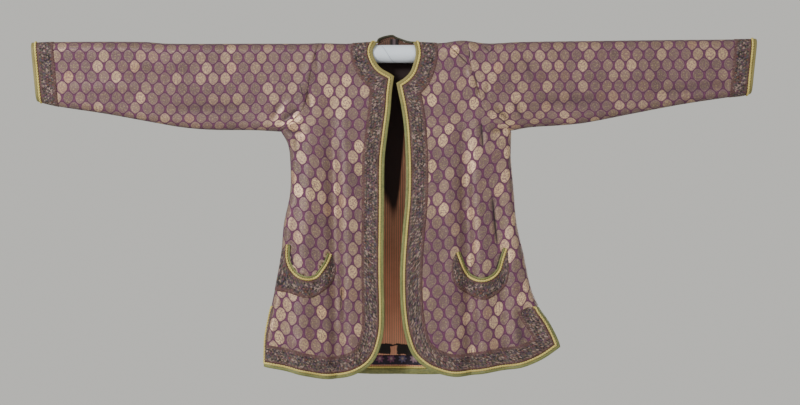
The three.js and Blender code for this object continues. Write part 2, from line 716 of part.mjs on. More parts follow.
// The inside of the back: piping and facing above the hem, then the lining up to the neck
const hemLineAt = (distance) => shifted(run(BACK_HEM), -distance);
const middle = box(-LINING_HALF, LINING_HALF, ...LINING_HEIGHTS);
const inHem = (from, to) => between(hemLineAt(from), hemLineAt(to)).intersect(middle);
const facingStart = backPipingEnd + INNER_PIPING_EXTRA + SEAM_GAP;
const facingEnd = facingStart + FACING_WIDTH;
const cordInHem = inHem(backPiping, facingStart - SEAM_GAP);
const innerPiping = wall(back, inner - INNER_PIPING_RISE, inner).intersect(cordInHem);
const liningWall = wall(back, inner - LINING_WALL, inner);
addSolid('back_hem_inner_piping', 'piping', innerPiping);
addSolid('back_hem_facing', 'border', liningWall.intersect(inHem(facingStart, facingEnd)));
const above = cutter([...hemLineAt(facingEnd + SEAM_GAP), [BEYOND, NECK_LEAD.z], [-BEYOND, NECK_LEAD.z]]);
const neckGap = neckStrip(-OUTSIDE, pipingStart + INNER_PIPING_EXTRA);
const lower = box(-LINING_HALF, LINING_HALF, LINING_HEIGHTS[0], UNDER_ROD);
const behindRod = box(-NECK_LINING_HALF, NECK_LINING_HALF, UNDER_ROD - 1, NECK_LEAD.z);
const lining = liningWall.intersect(above).intersect(lower.add(behindRod)).subtract(neckGap);
addSolid('back_lining', 'lining', lining);
const loopTop = inner - LINING_WALL - SEAM_GAP;
const loopWall = wall(back, loopTop - LINING_WALL, loopTop);
addSolid('neck_loop', 'border', loopWall.intersect(box(...LOOP.x, ...LOOP.z)));

export default group;
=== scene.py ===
# %% [markdown]
# # A brocade coat hung on a rod
# This lesson dresses a hung coat in Blender. The frame holds plain solids of every cut piece. Each one
# is rebuilt here as finer cloth on the same form, then given a finish: woven brocade, floral border,
# twisted piping, green silk binding and a striped lining.

# %% Load the frame
import math
from functools import partial

import bpy
import numpy as np
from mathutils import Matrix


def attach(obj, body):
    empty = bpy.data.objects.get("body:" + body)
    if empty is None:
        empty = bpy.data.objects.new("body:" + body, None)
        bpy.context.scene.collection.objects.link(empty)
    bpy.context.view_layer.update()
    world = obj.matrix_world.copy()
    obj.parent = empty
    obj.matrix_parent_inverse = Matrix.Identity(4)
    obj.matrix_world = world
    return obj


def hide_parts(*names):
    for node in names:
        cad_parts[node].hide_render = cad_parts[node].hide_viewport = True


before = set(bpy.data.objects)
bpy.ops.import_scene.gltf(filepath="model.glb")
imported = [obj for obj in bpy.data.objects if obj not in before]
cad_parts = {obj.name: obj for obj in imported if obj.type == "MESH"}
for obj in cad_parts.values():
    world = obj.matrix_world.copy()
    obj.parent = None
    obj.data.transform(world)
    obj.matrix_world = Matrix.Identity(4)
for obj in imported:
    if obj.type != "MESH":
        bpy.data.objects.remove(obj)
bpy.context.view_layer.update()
print("frame nodes:", len(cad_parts))

# %% [markdown]
# ## Sizes
# A coat of this kind is cut from straight pieces, so a few outlines say everything: the line over the
# rod, the lower fold of the sleeves, the sides, the armholes and the free edges. They are in
# millimetres with the rod's axis as zero, X along the rod, Z up and the fronts towards -Y.

# %% Sizes and outlines
MM = 0.001
SIDES = ("right", "left")
SIGN = {"right": -1, "left": 1}
OVER_ROD = 21.3
SEAM_GAP = 0.3
FOLD_RADIUS = 14
BODY_FLARE = 0.016
SLEEVE_NARROWING = 0.05
BACK_STAND = 5
NECK_OPENNESS = 45
VENT_TOP = -523
VENT_FADE = 90
HEM_REACH = -682
CLOTH_WALL = 1.6
EDGING_WIDTH = 6.3
BACK_EDGING_WIDTH = 12
PIPING_WIDTH = 5.1
BORDER_WIDTH = 35
BORDER_START = 11.3
CUFF_TOP = {"right": -752, "left": 748}
CUFF_BOTTOM = {"right": -741, "left": 737}
ARMPIT = {"right": (-236, -161), "left": (240, -159)}
VENT_OPENING = {"right": 0.25, "left": 0.5}
VENT_SHARE = {"right": 0.12, "left": 1}
FRONT_REACH = {"right": 8, "left": -6}

TOP_LINE = (  # x, z
    (-750, 23), (-700, 25), (-520, 25), (-470, 21.5), (-275, 21.5), (-190, 21.5), (-150, 22.5),
    (-100, 21.5), (-40, 25), (40, 25), (95, 23), (140, 28), (190, 22), (260, 25), (400, 27), (560, 29),
    (680, 30), (750, 31),
)
SLEEVE_BOTTOM = {  # x, z
    "right": (
        (-780, -92), (-747, -96), (-722, -103), (-690, -110), (-598, -124), (-499, -142), (-440, -152),
        (-380, -157), (-290, -158), (-236, -161),
    ),
    "left": (
        (240, -159), (280, -152), (340, -148), (391, -143), (490, -124), (590, -105), (689, -90),
        (722, -86), (748, -78), (780, -74),
    ),
}
SIDE = (  # z, right x, left x
    (-159, -237, 241), (-186, -222, 240), (-219, -217, 240), (-286, -217, 246), (-352, -230, 252),
    (-418, -236, 267), (-484, -248, 281), (-523, -256, 298), (-551, -262, 317), (-584, -268, 334),
    (-606, -269, 341), (-690, -271, 343),
)
ARMHOLE = (  # share of the height from shoulder to armpit, right x, left x
    (0, -157, 149), (0.28, -171, 156), (0.45, -177, 165), (0.6, -181, 174), (0.75, -190, 182),
    (0.87, -208, 198), (0.95, -226, 222), (1, -236, 240),
)
NECK = {  # x, z
    "right": ((-36, 26), (-45.7, 4.6), (-39.3, -16), (-28.4, -30.2), (-10, -41), (-1.5, -47)),
    "left": ((38, 26), (42.4, 2), (39, -17), (31, -38), (18.6, -51), (2.5, -61)),
}
FRONT_EDGE = {  # x, z
    "right": (
        (-1.5, -47), (-6, -79), (-9, -118), (-15, -165), (-21, -219), (-22, -310), (-23, -450),
        (-21.5, -534), (-23, -573), (-31, -608), (-43, -633), (-62, -651), (-93, -665), (-135, -671.5),
        (-188, -664), (-227, -654), (-271, -646),
    ),
    "left": (
        (2.5, -61), (7, -83), (13, -112), (18.6, -155), (22.5, -240), (21, -304), (16, -360),
        (10.5, -440), (10.5, -500), (14, -546), (20, -580), (33, -617), (53, -640), (78, -655),
        (120, -666), (168, -662), (216, -654), (262, -647), (302, -631), (341, -605),
    ),
}
BACK_NECK = (  # x, z
    (-44, 24), (-38, 27), (-35, 33), (-23, 38.5), (-5, 41.5), (3, 37.5), (15, 33), (27, 29), (39, 27),
    (46, 24),
)
BACK_HEM = (  # x, z
    (-282, -640), (-200, -655), (-75, -664), (0, -665), (100, -664), (200, -650), (270, -636),
    (332, -604), (345, -598),
)
POCKET_LIP = {  # x, z
    "right": (
        (-222, -394), (-222.5, -423), (-215, -444), (-200, -459.5), (-180, -466), (-162, -461.5),
        (-150, -448), (-140, -432), (-132.5, -414),
    ),
    "left": (
        (230, -402), (223, -424), (215, -448), (199, -463.5), (178, -469), (155, -461.5), (143, -448),
        (134, -427), (128, -410),
    ),
}
POCKET_BORDER = {  # x, z
    "right": (
        (-127, -423), (-121, -443), (-125, -462), (-133, -477), (-150, -492), (-170, -503),
        (-192, -502), (-219, -493), (-252, -484), (-252, -430),
    ),
    "left": (
        (120, -423), (117, -445), (119, -466), (128, -481), (143, -492), (164, -503), (187, -507),
        (210, -496), (226, -481), (233, -462), (235, -443), (233, -425),
    ),
}
print("coat span", CUFF_TOP["left"] - CUFF_TOP["right"], "mm")

# %% [markdown]
# ## Folds and creases
# The long folds hang from the shoulders and open towards the hem. The creases are short: puckers that
# fan out from the armpits, a drag line on one shoulder, and dents that were pressed in while the coat
# lay folded. All of them are soft ridges (positive) and troughs (negative) added to the depth.

# %% Folds and creases
FOLDS = (  # face, x at top, x at bottom, z top, z bottom, width, height
    (-1, -168, -198, -100, -720, 19, 7),
    (-1, -134, -118, -50, -720, 14, -14),
    (-1, -103, -86, -50, -720, 16, 5.5),
    (-1, -66, -60, -120, -720, 18, -3),
    (-1, 70, 86, -60, -720, 24, 3),
    (-1, 108, 124, -70, -720, 17, 5),
    (-1, 138, 160, -70, -720, 13, -11),
    (-1, 164, 190, -110, -720, 16, 6),
    (-1, 208, 232, -230, -720, 15, -6),
    (-1, 232, 268, -280, -720, 15, 4),
    (1, -170, -195, -90, -720, 24, 6),
    (1, -120, -128, -70, -720, 22, -6),
    (1, -62, -70, -110, -720, 24, 5),
    (1, 70, 92, -60, -720, 22, -6),
    (1, 128, 160, -90, -720, 24, 6),
    (1, 190, 235, -240, -720, 20, -5),
)
CREASES = (  # face, from x, from z, to x, to z, width, height
    (-1, 118, 22, 162, -24, 5, 2.4),
    (-1, 101, 14, 146, -34, 6, 1.2),
    (-1, 160, 10, 162, -14, 5, 1.4),
    (-1, 190, 18, 204, 4, 5, 1.4),
    (-1, 177, -142, 181.5, -197, 3.6, -3.6),
    (-1, 168, -142, 173, -197, 6, 1.8),
    (-1, 186, -142, 191, -200, 6, 1.8),
    (-1, 200, -290, 210.5, -396, 3.6, -3.8),
    (-1, 190, -290, 201, -380, 6, 1.8),
    (-1, 210, -300, 221, -392, 6, 1.8),
    (-1, -232, -140, -196, -112, 5, -3.2),
    (-1, -226, -150, -186, -136, 5, 2.6),
    (-1, -224, -160, -190, -164, 5, -2.8),
    (-1, -240, -132, -214, -96, 6, 2.4),
    (-1, -252, -138, -238, -104, 6, -2.6),
    (-1, -190, -70, -176, -108, 5, -2.2),
    (-1, -200, -96, -188, -132, 6, 2.2),
    (-1, -164, 4, -160, -34, 4, -1.8),
    (-1, -174, 0, -170, -50, 6, 1.8),
    (-1, -206, -170, -203, -214, 5, -2.2),
    (-1, 236, -138, 204, -110, 5, -3.2),
    (-1, 228, -150, 190, -138, 5, 2.6),
    (-1, 226, -160, 196, -160, 5, -2.8),
    (-1, 250, -130, 222, -96, 6, 2.4),
    (-1, 262, -134, 246, -100, 6, -2.4),
    (-1, 190, -60, 182, -104, 5, -2.2),
    (-1, 166, -4, 170, -44, 5, 1.8),
    (-1, 60, -560, 150, -590, 9, 1.6),
    (-1, -110, -560, -210, -600, 9, 1.6),
    (-1, -110, -484, -112, -540, 4, -2.6),
    (-1, -103, -480, -106, -560, 5, 2.4),
    (-1, 152, -30, 160, -62, 5, 2.0),
    (-1, 166, -50, 172, -92, 3.8, -2.2),
    (-1, 174, -58, 182, -100, 5, 2.2),
    (-1, 152, -36, 158, -70, 4, 2.6),
    (-1, -182, -30, -180, -66, 4.2, 1.8),
    (-1, -194, -60, -188, -96, 5, 2.0),
    (-1, -180, -76, -174, -116, 4, -2.2),
    (-1, 250, -520, 262, -610, 7, -2.6),
    (-1, 282, -560, 296, -620, 6, 2.2),
    (-1, -420, -20, -560, -24, 14, 1.4),
    (-1, -300, -110, -470, -116, 12, -1.6),
    (-1, -520, -70, -690, -72, 12, 1.4),
    (-1, 300, -100, 430, -96, 12, -1.6),
    (-1, 380, -50, 560, -46, 14, 1.5),
    (-1, 540, -80, 700, -62, 10, -1.4),
    (-1, 268, -10, 286, -60, 7, -1.5),
    (-1, 316, -20, 330, -56, 6, 1.3),
    (1, -232, -140, -190, -108, 6, -3.0),
    (1, -226, -152, -180, -142, 6, 2.6),
    (1, -250, -136, -236, -100, 6, -2.4),
    (1, 236, -138, 196, -106, 6, -3.0),
    (1, 228, -152, 184, -142, 6, 2.6),
    (1, 256, -132, 242, -98, 6, -2.4),
    (1, -90, -10, -30, -60, 8, 2.0),
    (1, 92, -8, 34, -58, 8, 2.0),
    (1, -60, -300, 80, -316, 14, -1.8),
    (1, -320, -90, -500, -96, 12, 1.6),
    (1, 320, -84, 520, -70, 12, -1.6),
)
print("folds:", len(FOLDS), "creases:", len(CREASES))

# %% [markdown]
# ## The hollow form
# One function gives the half depth of the cloth for every place in the front view, and every piece
# reads it. That is how the pieces of a real coat meet too: each is flat when cut, and the seams and
# the rod decide where it hangs. Smooth lines run through the tables, cubic between the rows.


# %% Smooth lines through the tables
def smooth_line(knots, values):
    """A cubic line through table rows, straight beyond them."""
    k, v = np.array(knots, float), np.array(values, float)
    if k[0] > k[-1]:
        k, v = k[::-1], v[::-1]
    slope = np.gradient(v, k)
    slope[1:-1] = (v[2:] - v[:-2]) / (k[2:] - k[:-2])

    def line(at):
        at = np.asarray(at, float)
        i = np.clip(np.searchsorted(k, at, side="right") - 1, 0, len(k) - 2)
        step, rise = k[i + 1] - k[i], v[i + 1] - v[i]
        t = np.clip((at - k[i]) / step, 0, 1)
        bend = t * (1 - t) * ((1 - t) * (slope[i] * step - rise) - t * (slope[i + 1] * step - rise))
        beyond = slope[0] * np.minimum(at - k[0], 0) + slope[-1] * np.maximum(at - k[-1], 0)
        return v[i] + rise * t + bend + beyond

    return line


def columns_of(rows):
    return list(zip(*rows))


def smoothstep(x, low, high):
    t = np.clip((x - low) / (high - low), 0, 1)
    return t * t * (3 - 2 * t)


top_line = smooth_line(*columns_of(TOP_LINE))
back_neck = smooth_line(*columns_of(BACK_NECK))
sleeve_bottom = {side: smooth_line(*columns_of(SLEEVE_BOTTOM[side])) for side in SIDES}
side_z, side_right, side_left = columns_of(SIDE)
side_line = {"right": smooth_line(side_z, side_right), "left": smooth_line(side_z, side_left)}
share, armhole_right, armhole_left = columns_of(ARMHOLE)
armhole = {"right": smooth_line(share, armhole_right), "left": smooth_line(share, armhole_left)}


def rod_line(x):
    return top_line(x) - OVER_ROD


def neck_share(x):
    """1 in the middle of the neck opening, 0 outside it."""
    first, last = BACK_NECK[0][0], BACK_NECK[-1][0]
    away = np.clip(np.abs(x - (first + last) / 2) / ((last - first) / 2), 0, 1)
    return np.cos(away * math.pi / 2)


def lower_line(side, x):
    armpit_x, armpit_z = ARMPIT[side]
    return np.where(np.abs(x) <= abs(armpit_x), armpit_z, sleeve_bottom[side](x))


def inside_fold(x, z):
    """The distance from the outline that the cloth folds round, negative outside it."""
    distance = np.zeros_like(x)
    for side in SIDES:
        armpit_x, armpit_z = ARMPIT[side]
        here = (x < 0) if side == "right" else (x >= 0)
        edge = np.where(z < armpit_z, np.abs(side_line[side](z)), abs(armpit_x))
        gap_x, gap_z = edge - np.abs(x), z - lower_line(side, x)
        both = (gap_x > 0) & (gap_z > 0)
        gap = np.where(both, np.hypot(gap_x, gap_z), np.maximum(gap_x, gap_z))
        distance = np.where(here, gap, distance)
    return distance


# %% The depth of the cloth, with its folds and creases
FOLD_START = 0.35
SLEEVE_FROM = (170, 320)
SLEEVE_DROP = (150, 300)
ON_OUTLINE = 0.7


def fold_height(x, z, face):
    height = np.zeros_like(x)
    for fold_face, x_top, x_bottom, z_top, z_bottom, width, size in FOLDS:
        if fold_face == face:
            t = (z_top - z) / (z_top - z_bottom)
            across = (x - (x_top + (x_bottom - x_top) * t)) / width
            height += size * smoothstep(t, 0, FOLD_START) * np.exp(-across**2)
    return height


def crease_height(x, z, face):
    height = np.zeros_like(x)
    for crease_face, x0, z0, x1, z1, width, size in CREASES:
        if crease_face == face:
            dx, dz = x1 - x0, z1 - z0
            length = math.hypot(dx, dz)
            t = ((x - x0) * dx + (z - z0) * dz) / length**2
            off = ((x - x0) * dz - (z - z0) * dx) / length
            ends = np.exp(-((np.clip(np.abs(t - 0.5) - 0.25, 0, None) / 0.22) ** 2))
            height += size * ends * np.exp(-((off / width) ** 2))
    return height


def hang_depth(x, z, face):
    drop = np.maximum(0, rod_line(x) - z)
    in_sleeve = smoothstep(np.abs(x), *SLEEVE_FROM) * (1 - smoothstep(drop, *SLEEVE_DROP))
    spread = (BODY_FLARE * (1 - in_sleeve) - SLEEVE_NARROWING * in_sleeve) * drop
    stand = BACK_STAND * neck_share(x) if face > 0 else 0
    return OVER_ROD + spread + stand + fold_height(x, z, face) + crease_height(x, z, face)


def turned(x, z, face, inside=None):
    """0 on the flat, 1 on a fold or on the line over the rod."""
    inside = inside_fold(x, z) if inside is None else inside
    above = z - rod_line(x)
    opened = NECK_OPENNESS * neck_share(x) if face > 0 else 0
    over = above / (OVER_ROD + opened)
    lap = np.maximum(0, 1 - inside / FOLD_RADIUS)
    opening = np.where(x < 0, VENT_OPENING["right"], VENT_OPENING["left"])
    opening = opening * smoothstep(-z, -VENT_TOP, -VENT_TOP + VENT_FADE)
    return np.where(above > 0, over, lap * (1 - opening))


def cloth(x, z, face):
    """Points on the outer face of the cloth, and the directions out of it."""
    x, z = np.broadcast_arrays(np.asarray(x, float), np.asarray(z, float))
    inside = inside_fold(x, z)
    depth = hang_depth(x, z, face)
    turn = turned(x, z, face, np.where(inside < ON_OUTLINE, 0, inside))
    y = face * depth * np.sqrt(np.maximum(0, 1 - turn**2))
    step = 0.5

    def slope(f, dx, dz):
        return (f(x + dx, z + dz, face) - f(x - dx, z - dz, face)) / (2 * step)

    sag = y * y / depth**3
    out = np.stack(
        (
            turn * slope(turned, step, 0) - sag * slope(hang_depth, step, 0),
            y / depth**2,
            turn * slope(turned, 0, step) - sag * slope(hang_depth, 0, step),
        ),
        axis=-1,
    )
    out /= np.maximum(np.linalg.norm(out, axis=-1, keepdims=True), 1e-9)
    return np.stack((x, y + face * SEAM_GAP / 2, z), axis=-1), out


probe, _ = cloth(-100.0, -300.0, -1)
print("front face at x -100, z -300 lies at y", round(float(probe[1]), 1), "mm")

# %% [markdown]
# ## Grids of cloth
# Each panel is a fine grid whose rows run over the rod, down to the armpit and on to the hem, and whose
# columns crowd together where the cloth turns round the side. The pattern must follow the cloth and
# not the view, so every point also keeps its place on the flat cut: the distance along its row and
# down its column, in metres, as the UV map.

# %% Grid lines
TOP_ANGLES = np.radians(np.linspace(0, 90, 11))
FOLD_STEPS = FOLD_RADIUS * (1 - np.cos(np.radians(np.linspace(0, 90, 9))))
UPPER_FALL = 36
SKIRT_ROWS = 152
FRONT_COLUMNS = 66
BACK_COLUMNS = 99
SLEEVE_RINGS = 112


def upper_heights(x, top, bottom):
    """Rows over the rod, down the flat, then round the lower edge, for one or many x."""
    x = np.asarray(x, float)[..., None]
    start, top = rod_line(x), np.asarray(top, float)[..., None]
    bottom = np.asarray(bottom, float)[..., None]
    over = start + (top - start) * np.cos(TOP_ANGLES)
    lowest = bottom + FOLD_STEPS[::-1]
    fall = start + (lowest[..., :1] - start) * np.linspace(0, 1, UPPER_FALL + 1)[1:-1]
    return np.concatenate((over, fall, lowest), axis=-1)


def armhole_seam(side):
    """The armhole seam from shoulder to armpit, one point for each upper row."""
    bottom = ARMPIT[side][1]
    count = upper_heights(0.0, 0.0, 0.0).shape[-1]
    rows = np.arange(count)
    x = np.full(count, float(armhole[side](0)))
    for _ in range(8):
        top = top_line(x)
        z = upper_heights(x, top, np.full(count, bottom))[rows, rows]
        x = armhole[side](np.clip((top - z) / (top - bottom), 0, 1))
    return np.stack((x, z), axis=-1)


ARMHOLE_SEAM = {side: armhole_seam(side) for side in SIDES}
UPPER_ROWS = len(ARMHOLE_SEAM["right"])


def outer_edge(side):
    upper = ARMHOLE_SEAM[side] - np.array((SIGN[side] * SEAM_GAP / 2, 0))
    z = np.linspace(ARMPIT[side][1], HEM_REACH, SKIRT_ROWS + 1)[1:]
    return np.concatenate((upper, np.stack((side_line[side](z), z), axis=-1)))


def body_rows(x, face, armpit):
    """The height of every body row at each x, for x of shape (rows, columns)."""
    top = top_line(x)
    if face > 0:
        top = np.where(neck_share(x) > 0, np.maximum(top, back_neck(x)), top)
    rows = np.arange(x.shape[0])
    upper = upper_heights(x, top, armpit)
    z = np.empty_like(x)
    for row in rows[:UPPER_ROWS]:
        z[row] = upper[row, :, row]
    t = (rows[UPPER_ROWS:, None] - UPPER_ROWS + 1) / SKIRT_ROWS
    z[UPPER_ROWS:] = armpit[UPPER_ROWS:] + (HEM_REACH - armpit[UPPER_ROWS:]) * t
    return z


def lengths(points, axis):
    """Distance run along an axis of a grid of points."""
    steps = np.linalg.norm(np.diff(points, axis=axis), axis=-1)
    pad = [(0, 0), (0, 0)]
    pad[axis] = (1, 0)
    return np.pad(np.cumsum(steps, axis=axis), pad)


def run_along(line):
    """Distance run along one line of points."""
    return np.concatenate(([0], np.cumsum(np.linalg.norm(np.diff(line, axis=0), axis=1))))


print("rows above the armpit:", UPPER_ROWS, "skirt rows:", SKIRT_ROWS)


# %% Mesh helpers
def mesh_object(name, points, faces, flat=None, shade=None):
    """A smooth mesh in metres from points in millimetres, with flat places as its UV map."""
    mesh = bpy.data.meshes.new(name)
    mesh.from_pydata((np.asarray(points) * MM).tolist(), [], [tuple(map(int, face)) for face in faces])
    mesh.validate()
    if flat is not None:
        layer = mesh.uv_layers.new(name="flat")
        order = np.empty(len(mesh.loops), int)
        mesh.loops.foreach_get("vertex_index", order)
        layer.data.foreach_set("uv", (np.asarray(flat)[order] * MM).ravel())
    if shade is not None:
        mesh.attributes.new("shade", "FLOAT", "POINT").data.foreach_set("value", shade)
    mesh.polygons.foreach_set("use_smooth", np.ones(len(mesh.polygons), bool))
    piece = bpy.data.objects.new(name, mesh)
    bpy.context.collection.objects.link(piece)
    return piece


def quads(rows, columns, wrap_rows=False, wrap_columns=False):
    """The faces of a grid of points, closed on itself where it wraps."""
    r = np.arange(rows if wrap_rows else rows - 1)
    c = np.arange(columns if wrap_columns else columns - 1)
    r, c = (a.ravel() for a in np.meshgrid(r, c, indexing="ij"))
    r2, c2 = (r + 1) % rows, (c + 1) % columns
    return np.stack((r * columns + c, r2 * columns + c, r2 * columns + c2, r * columns + c2), axis=-1)


def facing_out(points, faces, out):
    """Faces turned so that their normals agree with the outward directions."""
    a, b, c, d = (points[faces[:, i]] for i in range(4))
    normal = np.cross(c - a, d - b)
    wrong = (normal * out[faces[:, 0]]).sum(axis=-1) < 0
    faces = faces.copy()
    faces[wrong] = faces[wrong][:, ::-1]
    return faces


def thicken(piece, wall, inner_slot=0):
    """Gives the cloth its thickness inwards, and its inner face another material slot."""
    solid = piece.modifiers.new("wall", "SOLIDIFY")
    solid.thickness = wall * MM
    solid.offset = -1
    solid.use_rim = True
    solid.use_quality_normals = True
    solid.material_offset = inner_slot
    return solid


def baked(piece):
    """The piece with its modifiers turned into plain mesh."""
    graph = bpy.context.evaluated_depsgraph_get()
    mesh = bpy.data.meshes.new_from_object(piece.evaluated_get(graph))
    piece.modifiers.clear()
    old = piece.data
    piece.data = mesh
    bpy.data.meshes.remove(old)
    return piece


# %% [markdown]
# ## Free edges
# Borders, piping and binding all follow the free edges, so they share one set of lines: the edge moved
# into the cloth by a distance. Where two edges meet in a corner, such as the neck point or the hem's
# corner, the moved lines are cut where they cross, which gives the mitres.


# %% Edge lines
def run(rows, step=3.0):
    """A dense smooth line through outline rows."""
    rows = np.array(rows, float)
    chord = run_along(rows)
    at = np.linspace(0, chord[-1], max(2, int(chord[-1] / step)))
    return np.stack((smooth_line(chord, rows[:, 0])(at), smooth_line(chord, rows[:, 1])(at)), axis=-1)


def shifted(points, distance):
    """A line moved to the right of its direction."""
    ahead = np.gradient(points, axis=0)
    ahead /= np.linalg.norm(ahead, axis=1, keepdims=True)
    return points + distance * np.stack((ahead[:, 1], -ahead[:, 0]), axis=-1)


def cut_at_crossing(first, second):
    """Both lines cut where they cross, or as they are where they don't."""
    a, b = first[:-1, None], first[1:, None]
    c, d = second[None, :-1], second[None, 1:]
    ab, cd, ac = b - a, d - c, c - a
    cross = ab[..., 0] * cd[..., 1] - ab[..., 1] * cd[..., 0]
    cross = np.where(np.abs(cross) < 1e-9, np.nan, cross)
    t = (ac[..., 0] * cd[..., 1] - ac[..., 1] * cd[..., 0]) / cross
    u = (ac[..., 0] * ab[..., 1] - ac[..., 1] * ab[..., 0]) / cross
    hits = np.argwhere((t >= 0) & (t <= 1) & (u >= 0) & (u <= 1))
    if not len(hits):
        return first, second
    i, j = hits[-1] if len(hits) == 1 else hits[np.argmax(hits[:, 0])]
    point = first[i] + t[i, j] * (first[i + 1] - first[i])
    return np.vstack((first[: i + 1], point)), np.vstack((point, second[j + 1 :]))


def lengthened(line, more=6.0):
    """A line carried on past both ends, so that lines meeting in a corner always cross."""
    before = line[0] - line[1]
    after = line[-1] - line[-2]
    first = line[0] + before / np.linalg.norm(before) * more
    last = line[-1] + after / np.linalg.norm(after) * more
    return np.vstack((first, line, last))


def resampled(line, count):
    along = run_along(line)
    at = np.linspace(0, along[-1], count)
    return np.stack((np.interp(at, along, line[:, 0]), np.interp(at, along, line[:, 1])), axis=-1)


def side_run(side, start, end):
    z = np.linspace(start, end, max(2, int(abs(end - start) / 4)))
    return np.stack((side_line[side](z), z), axis=-1)


def front_parts(side, distance):
    """Neck, front edge with hem, and side vent of a front, at a distance into the cloth."""
    into = -SIGN[side] * distance
    corner = FRONT_EDGE[side][-1][1]
    neck = shifted(run(((NECK[side][0][0] - 3 * SIGN[side], 34),) + NECK[side]), into)
    edge = lengthened(shifted(run(FRONT_EDGE[side]), into))
    vent = shifted(side_run(side, corner - 20, VENT_TOP + 10), into * VENT_SHARE[side])
    neck, edge = cut_at_crossing(neck, edge)
    edge, vent = cut_at_crossing(edge, vent)
    return neck, edge, vent


def back_parts(distance):
    """The vents and hem of the back, at a distance into the cloth."""
    right = shifted(side_run("right", VENT_TOP + 10, BACK_HEM[0][1] - 20), -distance * VENT_SHARE["right"])
    hem = lengthened(shifted(run(BACK_HEM), -distance))
    left = shifted(side_run("left", BACK_HEM[-1][1] - 20, VENT_TOP + 10), -distance * VENT_SHARE["left"])
    right, hem = cut_at_crossing(right, hem)
    hem, left = cut_at_crossing(hem, left)
    return right, hem, left


def sampled(parts, counts):
    """Lines of one edge joined into one row of stations, with no double points at the joins."""
    rows = [resampled(part, count) for part, count in zip(parts, counts)]
    return np.vstack([rows[0]] + [row[1:] for row in rows[1:]])


FRONT_STATIONS = (40, 300, 36)
BACK_STATIONS = (36, 200, 36)


def front_line(side, distance):
    """The free edge of a front, kept below the line over the rod."""
    x, z = sampled(front_parts(side, distance), FRONT_STATIONS).T
    return np.stack((x, np.minimum(z, top_line(x) - 0.05)), axis=-1)


def back_line(distance):
    return sampled(back_parts(distance), BACK_STATIONS)


for side in SIDES:
    print(side, "front edge", round(float(run_along(front_line(side, 0))[-1])), "mm")


def inside_polygon(points, polygon):
    """Which points lie inside a closed outline."""
    inside = np.zeros(len(points), bool)
    px, pz = points[:, 0], points[:, 1]
    for (x0, z0), (x1, z1) in zip(polygon, np.roll(polygon, -1, axis=0)):
        if z0 != z1:
            spans = (z0 > pz) != (z1 > pz)
            inside ^= spans & (px < (x1 - x0) * (pz - z0) / (z1 - z0) + x0)
    return inside


# %% [markdown]
# ## Panels
# Fronts, back and sleeves come off the same grids. A grid reaches a little past its cut, so the faces
# that lie outside the cut are left out. Their stepped edge ends inside the binding, where a real raw
# edge is hidden too.

# %% Panel builders
HIDDEN_EDGE = 2.5
SLIT_CUT = -7.65
SLIT = (-7.6, -4.2)
REAR = 420
SIDE_PART = 180
CUT_REACH = (90, 70)
SNAP = 1.9


def beside_body(side, points):
    """Places above the vents at the side, where the side seam is closed."""
    return (points[:, 0] * SIGN[side] > SIDE_PART) & (points[:, 1] > VENT_TOP)


def snapped(places, line, reach):
    """Places within reach of a cut line moved onto it, so that the cloth is cut clean."""
    near = line[np.argmin(np.linalg.norm(places[:, None] - line[None], axis=2), axis=1)]
    away = np.linalg.norm(places - near, axis=1)
    return np.where((away < reach)[:, None], near, places)


def cut_faces(faces, kept):
    """Whole faces inside the cut, and the halves of those that it crosses corner to corner."""
    count = kept[faces].sum(axis=1)
    whole = [tuple(face) for face in faces[count == 4]]
    halves = [tuple(corner for corner in face if kept[corner]) for face in faces[count == 3]]
    return whole + halves


def crease_and_fold_shade(x, z, face):
    """How much painted shade a place gets, from 0 to 1: in a crease and round a fold, where the cloth is
    shaded.
    """
    down = np.clip(-crease_height(x, z, face) / 3.0, 0, 1)
    return np.maximum(down, 0.75 * smoothstep(turned(x, z, face), 0.72, 1.0))


def panel(name, grid_x, grid_z, face, keep, flat_origin, cut=None):
    """A piece of the body from its grid, cut out where keep says so and along the line cut."""
    if cut is not None:
        places = np.stack((grid_x, grid_z), axis=-1)
        near = (np.abs(places - cut.mean(axis=0)) < CUT_REACH).all(axis=-1)
        places[near] = snapped(places[near], cut, SNAP)
        grid_x, grid_z = places[..., 0], places[..., 1]
    points, out = cloth(grid_x, grid_z, face)
    u = lengths(points, 1) * np.sign(grid_x[0, -1] - grid_x[0, 0]) + grid_x[:, :1]
    u = u - (u[:, -1:] - grid_x[:, -1:]) if flat_origin == "last" else u
    v = -lengths(points, 0)
    flat = np.stack((u, v), axis=-1).reshape(-1, 2)
    rows, columns = grid_x.shape
    points, out = points.reshape(-1, 3), out.reshape(-1, 3)
    faces = facing_out(points, quads(rows, columns), out)
    faces = cut_faces(faces, keep(points[:, [0, 2]]))
    used = sorted({corner for face in faces for corner in face})
    renamed = dict(zip(used, range(len(used))))
    faces = [tuple(renamed[corner] for corner in face) for face in faces]
    shade = crease_and_fold_shade(grid_x.ravel()[used], grid_z.ravel()[used], face)
    piece = mesh_object(name, points[used], faces, flat[used], shade)
    thicken(piece, CLOTH_WALL, 1)
    return piece


